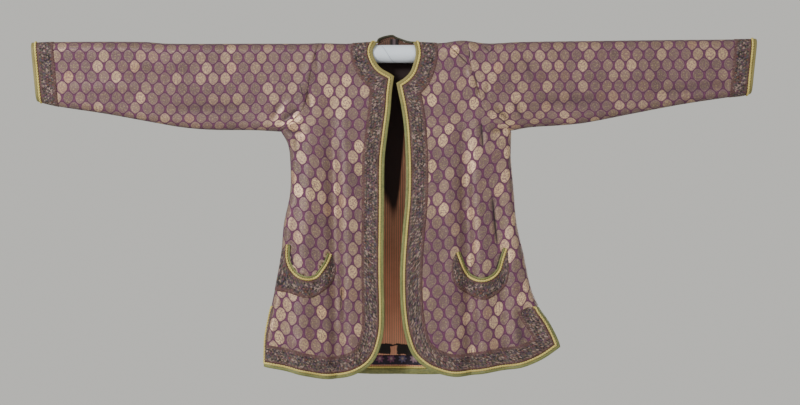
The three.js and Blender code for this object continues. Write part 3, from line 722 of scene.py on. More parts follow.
def front_panel(side):
    edge = outer_edge(side)
    steps = edge[:, :1] - SIGN[side] * FOLD_STEPS[None, :]
    t = np.linspace(0, 1, FRONT_COLUMNS + 1)[None, 1:]
    x = np.hstack((steps, steps[:, -1:] + (FRONT_REACH[side] - steps[:, -1:]) * t))
    z = body_rows(x, -1, np.full_like(x, ARMPIT[side][1]))
    z[:, 0] = edge[:, 1]
    line = front_line(side, HIDDEN_EDGE)
    far = SIGN[side] * REAR
    polygon = np.vstack((line, [[far, line[-1, 1]], [far, 80], [line[0, 0], 80]]))
    slit = np.vstack((lip_line(side, SLIT[0]), lip_line(side, SLIT[1])[::-1]))

    def keep(places):
        whole = inside_polygon(places, polygon) | beside_body(side, places)
        return whole & ~inside_polygon(places, slit)

    cut = resampled(lip_line(side, SLIT_CUT), 400)
    return panel(f"{side}_front_cloth", x, z, -1, keep, "last", cut)


def lip_line(side, distance):
    return shifted(run(POCKET_LIP[side]), -SIGN[side] * distance)


def back_panel():
    right, left = outer_edge("right"), outer_edge("left")
    start = right[:, :1] + FOLD_STEPS[None, :]
    end = (left[:, :1] - FOLD_STEPS[None, :])[:, ::-1]
    t = np.linspace(0, 1, BACK_COLUMNS + 1)[None, 1:-1]
    x = np.hstack((start, start[:, -1:] + (end[:, :1] - start[:, -1:]) * t, end))
    share_across = (x - x[:, :1]) / (x[:, -1:] - x[:, :1])
    armpit = ARMPIT["right"][1] + (ARMPIT["left"][1] - ARMPIT["right"][1]) * share_across
    z = body_rows(x, 1, armpit)
    z[:, 0], z[:, -1] = right[:, 1], left[:, 1]
    line = back_line(HIDDEN_EDGE)
    polygon = np.vstack((line, [[REAR, line[-1, 1]], [REAR, 90], [-REAR, 90], [-REAR, line[0, 1]]]))
    neck = shifted(run(BACK_NECK), 3.0)

    def keep(places):
        whole = inside_polygon(places, polygon) | beside_body("right", places) | beside_body("left", places)
        in_neck = (places[:, 0] > neck[0, 0]) & (places[:, 0] < neck[-1, 0])
        return whole & ~(in_neck & (places[:, 1] > np.interp(places[:, 0], neck[:, 0], neck[:, 1])))

    return panel("back_cloth", x, z, 1, keep, "first")


def ring_shares(side):
    x = np.array([float(CUFF_TOP[side])])
    heights = upper_heights(x, top_line(x), lower_line(side, x))[0]
    return (heights[0] - heights) / (heights[0] - heights[-1])


def sleeve_half(side, t, distance=0.0):
    """Places of a half ring, top to lower fold, at a share of the way from cuff to armhole."""
    cuff = CUFF_TOP[side] + (CUFF_BOTTOM[side] - CUFF_TOP[side]) * ring_shares(side) - SIGN[side] * distance
    seam = ARMHOLE_SEAM[side] + np.array((SIGN[side] * SEAM_GAP / 2, 0))
    x = cuff + (seam[:, 0] - cuff) * t
    rows = np.arange(len(x))
    z = upper_heights(x, top_line(x), lower_line(side, x))[rows, rows]
    return x, (seam[:, 1] if t == 1 else z)


def sleeve_ring(side, t, distance=0.0):
    """A closed ring of points and outward directions: down the front, then up the back."""
    x, z = sleeve_half(side, t, distance)
    front, front_out = cloth(x, z, -1)
    back, back_out = cloth(x, z, 1)
    front[[0, -1], 1] = 0
    points = np.vstack((front, back[1:-1][::-1]))
    out = np.vstack((front_out, back_out[1:-1][::-1]))
    down = run_along(front)
    return points, out, np.concatenate((down, down[1:-1][::-1]))


def sleeve_panel(side):
    rings = [sleeve_ring(side, t, HIDDEN_EDGE) for t in np.linspace(0, 1, SLEEVE_RINGS + 1)]
    points = np.array([ring[0] for ring in rings])
    out = np.array([ring[1] for ring in rings]).reshape(-1, 3)
    flat = np.stack((points[..., 0], -np.array([ring[2] for ring in rings])), axis=-1)
    rows, columns = points.shape[:2]
    points = points.reshape(-1, 3)
    faces = facing_out(points, quads(rows, columns, wrap_columns=True), out)
    front, back = (crease_and_fold_shade(points[:, 0], points[:, 2], face) for face in (-1, 1))
    shade = np.where(points[:, 1] < 0, front, back)
    piece = mesh_object(f"{side}_sleeve_cloth", points, faces, flat.reshape(-1, 2), shade)
    thicken(piece, CLOTH_WALL, 1)
    return piece


panels = {"back": back_panel()}
for side in SIDES:
    panels[f"{side}_front"] = front_panel(side)
    panels[f"{side}_sleeve"] = sleeve_panel(side)
for name, piece in panels.items():
    print(name, len(piece.data.polygons), "faces")


# %% [markdown]
# ## Trims
# A trim is a cross-section carried along the edge lines: each point of the section has a distance into
# the cloth and a height above it. The binding wraps the raw edge, and the border is a flat woven strip
# sewn on top.

# %% Trim builders
BINDING = (  # distance from the edge, height above the cloth
    (0.1, -0.8), (0.4, 0.2), (1.4, 0.75), (4, 0.9), (6.4, 0.8), (7.2, 0.3), (7.2, -2.3), (4, -2.6),
    (1.2, -2.3), (0.3, -1.7),
)
STRIP_LOW, STRIP_HIGH, STRIP_EDGE = 0.12, 0.75, 0.45
WIDE_BINDING = tuple((d * BACK_EDGING_WIDTH / EDGING_WIDTH, h) for d, h in BINDING)


def border_section(start):
    """The flat woven border with slightly rounded edges, as a closed section."""
    distances = np.linspace(start, start + BORDER_WIDTH, 13)
    rise = np.full(len(distances), STRIP_HIGH)
    rise[[0, -1]] = STRIP_EDGE
    lower = [(distance, STRIP_LOW) for distance in distances[::-1]]
    return tuple(zip(distances, rise)) + tuple(lower)


def swept(name, section, line_at, face):
    """A closed section carried along lines at its distances from the free edge."""
    first = min(distance for distance, _ in section)
    lines = [line_at(distance) for distance, _ in section]
    along = run_along(lines[len(lines) // 4])
    grid, flat = [], []
    for (distance, height), line in zip(section, lines):
        points, out = cloth(line[:, 0], line[:, 1], face)
        grid.append(points + out * height)
        flat.append(np.stack((along, np.full(len(along), distance - first)), axis=-1))
    return lofted(name, np.array(grid), np.array(flat))


def lofted(name, grid, flat, wrap=False):
    """A closed tube from a grid of shape (section points, stations, 3)."""
    rows, columns = grid.shape[:2]
    faces = [tuple(face) for face in quads(rows, columns, wrap_rows=True, wrap_columns=wrap)]
    if not wrap:
        faces.append(tuple(range(0, rows * columns, columns)))
        faces.append(tuple(range(columns - 1, rows * columns, columns))[::-1])
    piece = mesh_object(name, grid.reshape(-1, 3), faces, flat.reshape(-1, 2))
    outwards(piece)
    return piece


def outwards(piece):
    """Turns a closed mesh right side out."""
    mesh = piece.data
    points = np.empty(len(mesh.vertices) * 3)
    mesh.vertices.foreach_get("co", points)
    points = points.reshape(-1, 3)
    mesh.calc_loop_triangles()
    corners = np.empty(len(mesh.loop_triangles) * 3, int)
    mesh.loop_triangles.foreach_get("vertices", corners)
    a, b, c = points[corners.reshape(-1, 3)].transpose(1, 0, 2)
    if np.einsum("ij,ij->i", a, np.cross(b, c)).sum() < 0:
        mesh.flip_normals()


def below_vents(line_at):
    """Lines whose ends stop at the tops of the side vents."""

    def cut(distance):
        x, z = line_at(distance).T
        beside = np.abs(x) > SIDE_PART
        return np.stack((x, np.where(beside, np.minimum(z, VENT_TOP - SEAM_GAP), z)), axis=-1)

    return cut


FRONT_TRIM = {side: below_vents(partial(front_line, side)) for side in SIDES}
BACK_TRIM = below_vents(back_line)
BORDER_STRIP = border_section(BORDER_START)
BACK_START = BACK_EDGING_WIDTH + PIPING_WIDTH + 0.3
trims = {}
for side in SIDES:
    trims[f"{side}_front_edging"] = swept(f"{side}_front_binding", BINDING, FRONT_TRIM[side], -1)
    trims[f"{side}_front_border"] = swept(f"{side}_front_woven_border", BORDER_STRIP, FRONT_TRIM[side], -1)
trims["back_hem_edging"] = swept("back_hem_binding", WIDE_BINDING, BACK_TRIM, 1)
trims["back_hem_border"] = swept("back_hem_woven_border", border_section(BACK_START), BACK_TRIM, 1)


def neck_line(distance):
    return shifted(run(BACK_NECK[1:-1], 2.0), distance)


NECK_BINDING = tuple((d * 0.6, h) for d, h in BINDING)
trims["back_neck_edging"] = swept("back_neck_binding", NECK_BINDING, neck_line, 1)


def cuff_trim(name, section, side):
    """A section carried round the cuff."""
    grid, flat = [], []
    first = min(distance for distance, _ in section)
    for distance, height in section:
        points, out, down = sleeve_ring(side, 0, distance)
        grid.append(points + out * height)
        half = (len(down) + 2) // 2
        round_cuff = np.concatenate((down[:half], 2 * down[half - 1] - down[half:]))
        flat.append(np.stack((round_cuff, np.full(len(down), distance - first)), axis=-1))
    return lofted(name, np.array(grid), np.array(flat), wrap=True)


for side in SIDES:
    trims[f"{side}_cuff_edging"] = cuff_trim(f"{side}_cuff_binding", BINDING, side)
    trims[f"{side}_cuff_border"] = cuff_trim(f"{side}_cuff_woven_border", BORDER_STRIP, side)
print("trims:", sorted(trims))

# %% [markdown]
# ## Pockets
# Each front has a U-shaped slit. Its lower lip is bound and piped, a crescent of border is sewn below
# it, and a flat pocket hangs behind. The crescent is a fan of lines from the lip to its outer edge.

# %% Pockets
LIP_HALF = 2.2
LIP_BINDING = tuple((-LIP_HALF - d * 0.62, h) for d, h in BINDING)
BAG_DEPTH = 2.2
CRESCENT_STATIONS = 90
BAG_ROWS, BAG_STATIONS = 30, 60


def pocket_crescent(side):
    """The crescent of border below the lip of a pocket."""
    near = resampled(lip_line(side, LIP_HALF), CRESCENT_STATIONS)
    outer = resampled(run(POCKET_BORDER[side], 2.0)[::-1], CRESCENT_STATIONS)
    along = run_along(near)
    across = np.linspace(0, 1, 11)
    section = [(t, STRIP_HIGH) for t in across] + [(t, STRIP_LOW) for t in across[::-1]]
    grid, flat = [], []
    for t, height in section:
        places = near + (outer - near) * t
        limit = np.abs(side_line[side](places[:, 1])) - 0.2
        x = SIGN[side] * np.minimum(np.abs(places[:, 0]), limit)
        points, out = cloth(x, places[:, 1], -1)
        grid.append(points + out * height)
        flat.append(np.stack((along, np.full(CRESCENT_STATIONS, t * BORDER_WIDTH)), axis=-1))
    return lofted(f"{side}_pocket_crescent", np.array(grid), np.array(flat))


def pocket_bag(side):
    """The shallow back of a pocket, behind its slit."""
    edge = resampled(lip_line(side, 9), BAG_STATIONS)
    middle = edge.mean(axis=0) + np.array((0, 18))
    share = np.linspace(0, 1, BAG_ROWS)[:, None, None]
    places = middle + (edge[None] - middle) * np.maximum(share, 0.02)
    points, out = cloth(places[..., 0], places[..., 1], -1)
    points = (points - out * BAG_DEPTH).reshape(-1, 3)
    faces = facing_out(points, quads(BAG_ROWS, BAG_STATIONS), out.reshape(-1, 3))
    bag = mesh_object(f"{side}_pocket_lining", points, faces, places.reshape(-1, 2))
    thicken(bag, 0.8)
    return bag


for side in SIDES:
    lip_at = partial(lip_line, side)
    trims[f"{side}_pocket_edging"] = swept(f"{side}_pocket_binding", LIP_BINDING, lip_at, -1)
    trims[f"{side}_pocket_border"] = pocket_crescent(side)
    trims[f"{side}_pocket_back"] = pocket_bag(side)
print("pocket pieces made")

# %% [markdown]
# ## Inside the back
# Between the two front edges the inside of the back shows: the striped lining, a flowered facing at the
# hem, its piping, and a hanging loop behind the neck. They lie on the inner face of the back, so the
# same form carries them at a height below the cloth.

# %% Lining, facing and loop
LINING_HALF = 115
NECK_HALF = 34
BELOW_ROD = -24
FACING_END = BACK_START + 2.3
FACING_TOP = FACING_END + 20
INNER_HEIGHT = -3.0
LOOP_HEIGHT = -4.4
LOOP_SPAN = (-10, 6.5)
LOOP_TOP, LOOP_FOOT = 33, 12


def inner_sheet(name, x_range, top_at, bottom_at, height, wall, rows, columns):
    """A sheet on the inner face of the back, between two lines across it."""
    x = np.linspace(*x_range, columns)[None, :].repeat(rows, axis=0)
    t = np.linspace(0, 1, rows)[:, None]
    z = top_at(x) + (bottom_at(x) - top_at(x)) * t
    points, out = cloth(x, z, 1)
    points = points + out * height
    flat = np.stack((x + 500, z), axis=-1).reshape(-1, 2)
    faces = facing_out(points.reshape(-1, 3), quads(rows, columns), -out.reshape(-1, 3))
    piece = mesh_object(name, points.reshape(-1, 3), faces, flat)
    thicken(piece, wall)
    return piece


hem_curve = run(BACK_HEM)


def hem_at(distance):
    return lambda x: np.interp(x, hem_curve[:, 0], hem_curve[:, 1]) + distance


def level(z):
    return lambda x: np.full_like(x, z)


def under_neck(x):
    """The lining's top: under the neck binding, and below the rod elsewhere."""
    return np.where(np.abs(x) < NECK_HALF, np.interp(x, *neck_line(9.5).T), BELOW_ROD)


span = (-LINING_HALF, LINING_HALF)
lining_end = hem_at(FACING_TOP + 0.3)
trims["back_lining"] = inner_sheet(
    "striped_lining", span, under_neck, lining_end, INNER_HEIGHT, 0.5, 220, 110
)
trims["back_hem_facing"] = inner_sheet(
    "flowered_facing", span, hem_at(FACING_TOP), hem_at(FACING_END), INNER_HEIGHT, 0.6, 12, 90
)
trims["neck_loop"] = inner_sheet(
    "hanging_loop", LOOP_SPAN, level(LOOP_TOP), level(LOOP_FOOT), LOOP_HEIGHT, 0.8, 20, 14
)
print("inside pieces made")

# %% [markdown]
# ## Cords and stitches
# Piping is two strands of yellow silk twisted together, and the borders are held by small running
# stitches. Both are Geometry Nodes groups that follow a path, so one change of pitch or spacing changes
# every seam of the coat. Each is then turned into plain mesh.


# %% Node groups that follow a path
def new_socket(tree, name, kind, value=None, direction="INPUT"):
    socket = tree.interface.new_socket(name=name, in_out=direction, socket_type=kind)
    if value is not None:
        socket.default_value = value


class Nodes:
    """Short names for placing and joining nodes."""

    def __init__(self, tree):
        self.tree = tree

    def node(self, kind, inputs=None, **settings):
        node = self.tree.nodes.new(kind)
        for key, value in settings.items():
            setattr(node, key, value)
        for key, value in (inputs or {}).items():
            self.put(node.inputs[key], value)
        return node

    def put(self, socket, value):
        if isinstance(value, bpy.types.NodeSocket):
            self.tree.links.new(value, socket)
        else:
            socket.default_value = value

    def math(self, operation, a, b=0.0, c=0.0, clamp=False):
        inputs = {0: a, 1: b, 2: c}
        return self.node("ShaderNodeMath", inputs, operation=operation, use_clamp=clamp).outputs[0]

    def vector(self, operation, a, b=(0, 0, 0)):
        node = self.node("ShaderNodeVectorMath", {0: a, 1: b}, operation=operation)
        return node.outputs["Value" if operation in ("LENGTH", "DISTANCE", "DOT_PRODUCT") else "Vector"]

    def plus(self, a, b, clamp=False):
        return self.math("ADD", a, b, clamp=clamp)

    def minus(self, a, b):
        return self.math("SUBTRACT", a, b)

    def times(self, a, b):
        return self.math("MULTIPLY", a, b)

    def over(self, a, b):
        return self.math("DIVIDE", a, b)

    def times_plus(self, a, b, c, clamp=False):
        return self.math("MULTIPLY_ADD", a, b, c, clamp=clamp)

    def join(self, x, y, z=0.0):
        return self.node("ShaderNodeCombineXYZ", {"X": x, "Y": y, "Z": z}).outputs[0]


def path_group(name, sockets):
    """An empty group that takes a path and gives a mesh, with its sockets."""
    tree = bpy.data.node_groups.new(name, "GeometryNodeTree")
    new_socket(tree, "Path", "NodeSocketGeometry")
    for socket in sockets:
        new_socket(tree, *socket)
    new_socket(tree, "Mesh", "NodeSocketGeometry", direction="OUTPUT")
    nodes = Nodes(tree)
    return tree, nodes, nodes.node("NodeGroupInput").outputs, nodes.node("NodeGroupOutput").inputs["Mesh"]


def finish_path(n, geometry, material, result):
    """The last nodes of a path group, which give plain, smooth and painted mesh."""
    real = n.node("GeometryNodeRealizeInstances", {0: geometry})
    smooth = n.node("GeometryNodeSetShadeSmooth", {0: real.outputs[0]})
    painted = n.node("GeometryNodeSetMaterial", {"Geometry": smooth.outputs[0], "Material": material})
    n.put(result, painted.outputs[0])


def twisted_cord():
    """Two strands wound round each other along the path."""
    tree, n, given, result = path_group(
        "Twisted cord",
        (
            ("Strand radius", "NodeSocketFloat", 0.0017),
            ("Twist radius", "NodeSocketFloat", 0.00085),
            ("Pitch", "NodeSocketFloat", 0.011),
            ("Material", "NodeSocketMaterial"),
        ),
    )
    curve = n.node("GeometryNodeMeshToCurve", {"Mesh": given["Path"]}).outputs[0]
    even = n.node("GeometryNodeResampleCurve", {"Curve": curve, "Length": 0.0012}, mode="LENGTH").outputs[0]
    along = n.node("GeometryNodeSplineParameter").outputs["Length"]
    turns = n.times(n.over(along, given["Pitch"]), 2 * math.pi)
    tilted = n.node("GeometryNodeSetCurveTilt", {"Curve": even, "Tilt": turns}).outputs[0]
    circle = {"Resolution": 6, "Radius": given["Strand radius"]}
    strand = n.node("GeometryNodeCurvePrimitiveCircle", circle).outputs[0]
    pair = n.node("GeometryNodeJoinGeometry")
    for sign in (-1, 1):
        offset = n.join(n.times(given["Twist radius"], sign), 0.0)
        moved = n.node("GeometryNodeTransform", {"Geometry": strand, "Translation": offset})
        n.put(pair.inputs[0], moved.outputs[0])
    sweep = {"Curve": tilted, "Profile Curve": pair.outputs[0], "Fill Caps": True}
    cord = n.node("GeometryNodeCurveToMesh", sweep)
    finish_path(n, cord.outputs[0], given["Material"], result)
    return tree


def running_stitch():
    """Small beads of thread spaced along the path, each a little out of line."""
    tree, n, given, result = path_group(
        "Running stitch",
        (
            ("Spacing", "NodeSocketFloat", 0.005),
            ("Length", "NodeSocketFloat", 0.0018),
            ("Thread radius", "NodeSocketFloat", 0.00032),
            ("Unevenness", "NodeSocketFloat", 0.0003),
            ("Seed", "NodeSocketInt", 4),
            ("Material", "NodeSocketMaterial"),
        ),
    )
    curve = n.node("GeometryNodeMeshToCurve", {"Mesh": given["Path"]}).outputs[0]
    spaced = {"Curve": curve, "Length": given["Spacing"]}
    points = n.node("GeometryNodeCurveToPoints", spaced, mode="LENGTH")
    reach = given["Unevenness"]
    spread = n.join(reach, 0.0, reach)
    jitter = n.node("FunctionNodeRandomValue", data_type="FLOAT_VECTOR")
    n.put(jitter.inputs[0], n.vector("MULTIPLY", spread, (-1, -1, -1)))
    n.put(jitter.inputs[1], spread)
    n.put(jitter.inputs["Seed"], given["Seed"])
    placed = {"Geometry": points.outputs["Points"], "Offset": jitter.outputs[0]}
    moved = n.node("GeometryNodeSetPosition", placed).outputs[0]
    sphere = {"Segments": 6, "Rings": 5, "Radius": given["Thread radius"]}
    bead = n.node("GeometryNodeMeshUVSphere", sphere).outputs[0]
    stretch = n.over(n.times(given["Length"], 0.5), given["Thread radius"])
    stitch = n.node("GeometryNodeInstanceOnPoints", {"Points": moved, "Instance": bead})
    n.put(stitch.inputs["Rotation"], points.outputs["Rotation"])
    n.put(stitch.inputs["Scale"], n.join(1.0, 1.0, stretch))
    finish_path(n, stitch.outputs[0], given["Material"], result)
    return tree


CORD = twisted_cord()
STITCH = running_stitch()
print("path groups:", CORD.name, "and", STITCH.name)


# %% Paths along the edges
def path_points(line, face, height):
    """A line of places as points at a height above the cloth."""
    points, out = cloth(line[:, 0], line[:, 1], face)
    return points + out * height


def along_path(name, group, path, material, closed=False):
    """A piece made by a path group that follows one path, as plain mesh."""
    edges = [(i, i + 1) for i in range(len(path) - 1)]
    if closed:
        edges.append((len(path) - 1, 0))
    mesh = bpy.data.meshes.new(name)
    mesh.from_pydata((path * MM).tolist(), edges, [])
    piece = bpy.data.objects.new(name, mesh)
    bpy.context.collection.objects.link(piece)
    modifier = piece.modifiers.new("path", "NODES")
    modifier.node_group = group
    painted = next(item for item in group.interface.items_tree if item.name == "Material")
    modifier[painted.identifier] = material
    return baked(piece)


def cuff_path(side, distance, height):
    points, out, _ = sleeve_ring(side, 0, distance)
    return points + out * height


print("paths ready")

# %% [markdown]
# ## Finishes
# Every finish is a few simple node groups used again: cells set out in staggered rows, the ribs of the
# weave, and a cloudy wear that keeps large areas from looking printed. Patterns read the flat UV map
# in millimetres, so they bend with the cloth. What belongs to one spot of the coat, such as the painted
# highlight on the armpits or a painted shadow line along a crease, reads the place on the object instead.


# %% Shader helpers
def linear(level):
    """One level of a colour as read on a screen, made linear."""
    share = level / 255
    return ((share + 0.055) / 1.055) ** 2.4 if level > 10 else share / 12.92


def rgb(red, green, blue):
    return (linear(red), linear(green), linear(blue), 1)


class Shade(Nodes):
    def place(self):
        """The place on the flat cloth in millimetres."""
        uv = self.node("ShaderNodeUVMap", uv_map="flat").outputs[0]
        return self.vector("MULTIPLY", uv, (1000, 1000, 1000))

    def spot(self, scale=(1000, 1000, 1000)):
        """The place on the object in millimetres."""
        return self.vector("MULTIPLY", self.node("ShaderNodeTexCoord").outputs["Object"], scale)

    def split(self, vector):
        return self.node("ShaderNodeSeparateXYZ", {0: vector}).outputs

    def levels(self, colour):
        return self.node("ShaderNodeSeparateColor", {0: colour}).outputs

    def mix(self, factor, a, b, blend="MIX"):
        node = self.node("ShaderNodeMix", data_type="RGBA", blend_type=blend)
        for socket, value in ((0, factor), (6, a), (7, b)):
            self.put(node.inputs[socket], value)
        return node.outputs[2]

    def step(self, value, low, high, from_value=0.0, to_value=1.0):
        inputs = {"Value": value, 1: low, 2: high, 3: from_value, 4: to_value}
        return self.node("ShaderNodeMapRange", inputs, interpolation_type="SMOOTHSTEP").outputs[0]

    def ramp(self, value, stops, interpolation="LINEAR"):
        node = self.node("ShaderNodeValToRGB", {"Fac": value})
        node.color_ramp.interpolation = interpolation
        elements = node.color_ramp.elements
        while len(elements) < len(stops):
            elements.new(1)
        for element, (position, colour) in zip(elements, stops):
            element.position = position
            element.color = colour
        return node.outputs[0]

    def noise(self, vector, scale, detail=2.0, roughness=0.5):
        inputs = {"Vector": vector, "Scale": scale, "Detail": detail, "Roughness": roughness}
        return self.node("ShaderNodeTexNoise", inputs).outputs[0]

    def group(self, tree, **inputs):
        node = self.node("ShaderNodeGroup", node_tree=tree)
        for key, value in inputs.items():
            self.put(node.inputs[key], value)
        return node.outputs


def shader_group(name, inputs, outputs):
    tree = bpy.data.node_groups.new(name, "ShaderNodeTree")
    for socket in inputs:
        new_socket(tree, *socket)
    for socket_name, kind in outputs:
        new_socket(tree, socket_name, kind, direction="OUTPUT")
    shade = Shade(tree)
    return tree, shade, shade.node("NodeGroupInput").outputs, shade.node("NodeGroupOutput").inputs


def finish_material(name, look, roughness, bump=0.3):
    """A material from a plain colour, or from a function of Shade that gives its inputs."""
    material = bpy.data.materials.new(name)
    material.use_nodes = True
    shade = Shade(material.node_tree)
    shader = material.node_tree.nodes["Principled BSDF"]
    values = look(shade) if callable(look) else {"Base Color": look}
    values.setdefault("Roughness", roughness)
    height = values.pop("height", None)
    for key, value in values.items():
        shade.put(shader.inputs[key], value)
    if height is not None:
        raised = shade.node("ShaderNodeBump", {"Strength": bump, "Distance": 0.001, "Height": height})
        shade.put(shader.inputs["Normal"], raised.outputs[0])
    return material


# %% Shared effects: staggered cells, weave and wear
CELLS, s, given, result = shader_group(
    "Staggered cells",
    (
        ("Place", "NodeSocketVector"),
        ("Across", "NodeSocketFloat", 25.0),
        ("Up", "NodeSocketFloat", 43.0),
    ),
    (("Local", "NodeSocketVector"), ("Chance", "NodeSocketColor"), ("Apart", "NodeSocketFloat")),
)
cell = s.join(given["Across"], given["Up"], 1.0)
scaled = s.vector("DIVIDE", given["Place"], cell)
choices = []
for shift, tag in (((0, 0, 0), (0, 0, 0)), ((0.5, 0.5, 0), (0.37, 0.11, 5))):
    moved = s.vector("ADD", scaled, shift)
    local = s.vector("MULTIPLY", s.vector("SUBTRACT", s.vector("FRACTION", moved), (0.5, 0.5, 0)), cell)
    local = s.vector("MULTIPLY", local, (1, 1, 0))
    choices.append((local, s.vector("ADD", s.vector("FLOOR", moved), tag)))
lengths_of = [s.vector("LENGTH", s.vector("MULTIPLY", local, (1.25, 1, 0))) for local, _ in choices]
second = s.math("GREATER_THAN", lengths_of[0], lengths_of[1])
s.put(result["Local"], s.mix(second, choices[0][0], choices[1][0]))
s.put(result["Apart"], s.math("ABSOLUTE", s.minus(lengths_of[0], lengths_of[1])))
owner = s.mix(second, choices[0][1], choices[1][1])
s.put(result["Chance"], s.node("ShaderNodeTexWhiteNoise", {"Vector": owner}).outputs["Color"])

WEAVE, s, given, result = shader_group(
    "Weave ribs",
    (("Place", "NodeSocketVector"), ("Rib", "NodeSocketFloat", 0.55)),
    (("Height", "NodeSocketFloat"),),
)
u, v, _ = s.split(given["Place"])
turn = s.over(2 * math.pi, given["Rib"])
diagonal = s.math("SINE", s.times(s.plus(u, v), turn))
straight = s.math("SINE", s.times(v, turn))
s.put(result["Height"], s.times_plus(s.times(diagonal, straight), 0.5, 0.5))

WEAR, s, given, result = shader_group(
    "Cloudy wear",
    (
        ("Colour", "NodeSocketColor"),
        ("Place", "NodeSocketVector"),
        ("Amount", "NodeSocketFloat", 0.25),
        ("Size", "NodeSocketFloat", 40.0),
    ),
    (("Colour", "NodeSocketColor"),),
)
cloud_size = s.join(given["Size"], given["Size"], 1.0)
clouds = s.noise(s.vector("DIVIDE", given["Place"], cloud_size), 1.0, 4.0, 0.6)
light = s.times_plus(s.minus(clouds, 0.5), s.times(given["Amount"], 4.0), 1.0)
grey = s.node("ShaderNodeCombineColor", {0: light, 1: light, 2: light}).outputs[0]
s.put(result["Colour"], s.mix(1.0, given["Colour"], grey, "MULTIPLY"))

# A painted shadow line: a mask along a segment, widest in its middle.
SHADOW_LINE_GROUP, s, given, result = shader_group(
    "Painted shadow line",
    (
        ("Place", "NodeSocketVector"),
        ("Start", "NodeSocketVector"),
        ("End", "NodeSocketVector"),
        ("Width", "NodeSocketFloat", 1.6),
    ),
    (("Mask", "NodeSocketFloat"),),
)
run_of = s.vector("SUBTRACT", given["End"], given["Start"])
from_start = s.vector("SUBTRACT", given["Place"], given["Start"])
ratio = s.over(s.vector("DOT_PRODUCT", from_start, run_of), s.vector("DOT_PRODUCT", run_of, run_of))
ratio = s.plus(ratio, 0.0, clamp=True)
nearest = s.vector("MULTIPLY", run_of, s.join(ratio, ratio, ratio))
away = s.vector("LENGTH", s.vector("SUBTRACT", from_start, nearest))
taper = s.times(s.minus(1.0, ratio), ratio)
taper = s.math("POWER", s.times(taper, 4.0), 0.5)
s.put(result["Mask"], s.step(away, s.times(given["Width"], taper), 0.0))
print("shared effects:", CELLS.name, WEAVE.name, WEAR.name, SHADOW_LINE_GROUP.name)


def ribs(s, place, rib):
    """Height of the weave's ribs, rib millimetres apart."""
    return s.group(WEAVE, Place=place, Rib=rib)["Height"]


def clouded(s, colour, place, amount, size):
    """A colour with cloudy wear, in clouds size millimetres across."""
    return s.group(WEAR, Colour=colour, Place=place, Amount=amount, Size=size)["Colour"]


# %% Brocade
PURPLE = rgb(94, 44, 76)
DEEP_PURPLE = rgb(52, 24, 44)
FADED_PURPLE = rgb(112, 72, 92)
MAUVE = rgb(124, 86, 102)
DULL_METAL = rgb(93, 77, 72)
# The colour of the painted sheen and glints on the metal thread.
METAL_HIGHLIGHT = rgb(228, 200, 152)
# Painted shadow lines along small creases and in the pocket slits.
SHADOW_LINES = (  # x, z at the start, x, z at the end, width
    (110, 18, 152, -24, 2.4), (153, 6, 155, -12, 2.0), (184, 15, 195, 2, 2.2), (206, 13, 195, 2, 1.8),
    (161, -34, 169, -62, 2.2), (178, -144, 181.5, -193, 2.6), (201, -300, 210.5, -394, 3.0),
    (135, -417, 145, -443, 3.6), (221, -408, 214, -431, 5.0), (214, -428, 208, -448, 3.6),
    (-214, -412, -210, -438, 3.0), (-138, -424, -147, -445, 3.0), (-110, -484, -112, -530, 1.6),
    (-196, -60, -188, -96, 1.8), (210, -128, 238, -152, 1.8),
)
# Places of the painted highlight on the crumpled armpits, in millimetres.
ARMPIT_HIGHLIGHTS = ((-222, 0, -146), (228, 0, -142))
METAL_TINTS = (
    (0, rgb(226, 226, 214)), (0.2, rgb(255, 250, 245)), (0.8, rgb(255, 250, 250)), (1, rgb(255, 234, 222)),
)


def motif(s, place, up, lean):
    """The cell of each place, and the place inside its pointed oval: share across and share up."""
    u, v, _ = s.split(place)
    loose = s.noise(s.vector("DIVIDE", place, (90, 90, 1)), 1.0, 1.0)
    loose = s.times(s.minus(loose, 0.5), 9.0)
    woven = s.join(s.plus(u, loose), s.times_plus(u, lean, v))
    cells = s.group(CELLS, Place=woven, Across=25.0, Up=up)
    x, y, _ = s.split(cells["Local"])
    y = s.times_plus(x, -lean, y)
    q = s.over(s.plus(y, 0.4), up * 0.305)
    bent = s.times_plus(s.times(q, q), 1.2, s.plus(x, -0.4))
    across = s.over(bent, s.times_plus(q, 0.4, 10.45))
    return cells, s.vector("SUBTRACT", woven, cells["Local"]), across, q


def sheen_and_tone(s, middle, chance, glint, spot):
    """How bright a motif is: painted sheen in some columns as if they catch the light, a painted highlight
    on the crumpled armpits, and a little random tone.
    """
    columns = s.noise(s.vector("DIVIDE", middle, (30, 130, 1)), 1.0, 2.0, 0.5)
    columns = s.step(columns, 0.44, 0.6)
    chosen = s.step(chance, 0.25, 0.9)
    bright = s.times_plus(s.times(columns, chosen), glint, s.times(chance, 0.1))
    for armpit in ARMPIT_HIGHLIGHTS:
        away = s.vector("LENGTH", s.vector("SUBTRACT", spot, armpit))
        armpit_highlight = s.times(s.step(away, 52, 16), s.step(chance, 0.2, 0.7))
        bright = s.math("MAXIMUM", bright, armpit_highlight)
    return bright


def metal_thread(s, bright, tint, flecks):
    """Metal thread, dull to bright by the painted sheen, with flecks where silk shows and painted glints on
    the metal.
    """
    metal = s.mix(bright, DULL_METAL, METAL_HIGHLIGHT)
    metal = s.mix(1.0, metal, s.ramp(tint, METAL_TINTS), "MULTIPLY")
    strong = s.times_plus(bright, 0.7, 0.45, clamp=True)
    silk_flecks = s.times(s.step(flecks, 0.51, 0.56), strong)
    metal = s.mix(silk_flecks, metal, s.mix(0.75, metal, MAUVE))
    glints = s.times(s.step(flecks, 0.48, 0.40), strong)
    return s.mix(glints, metal, s.mix(0.5, metal, METAL_HIGHLIGHT))


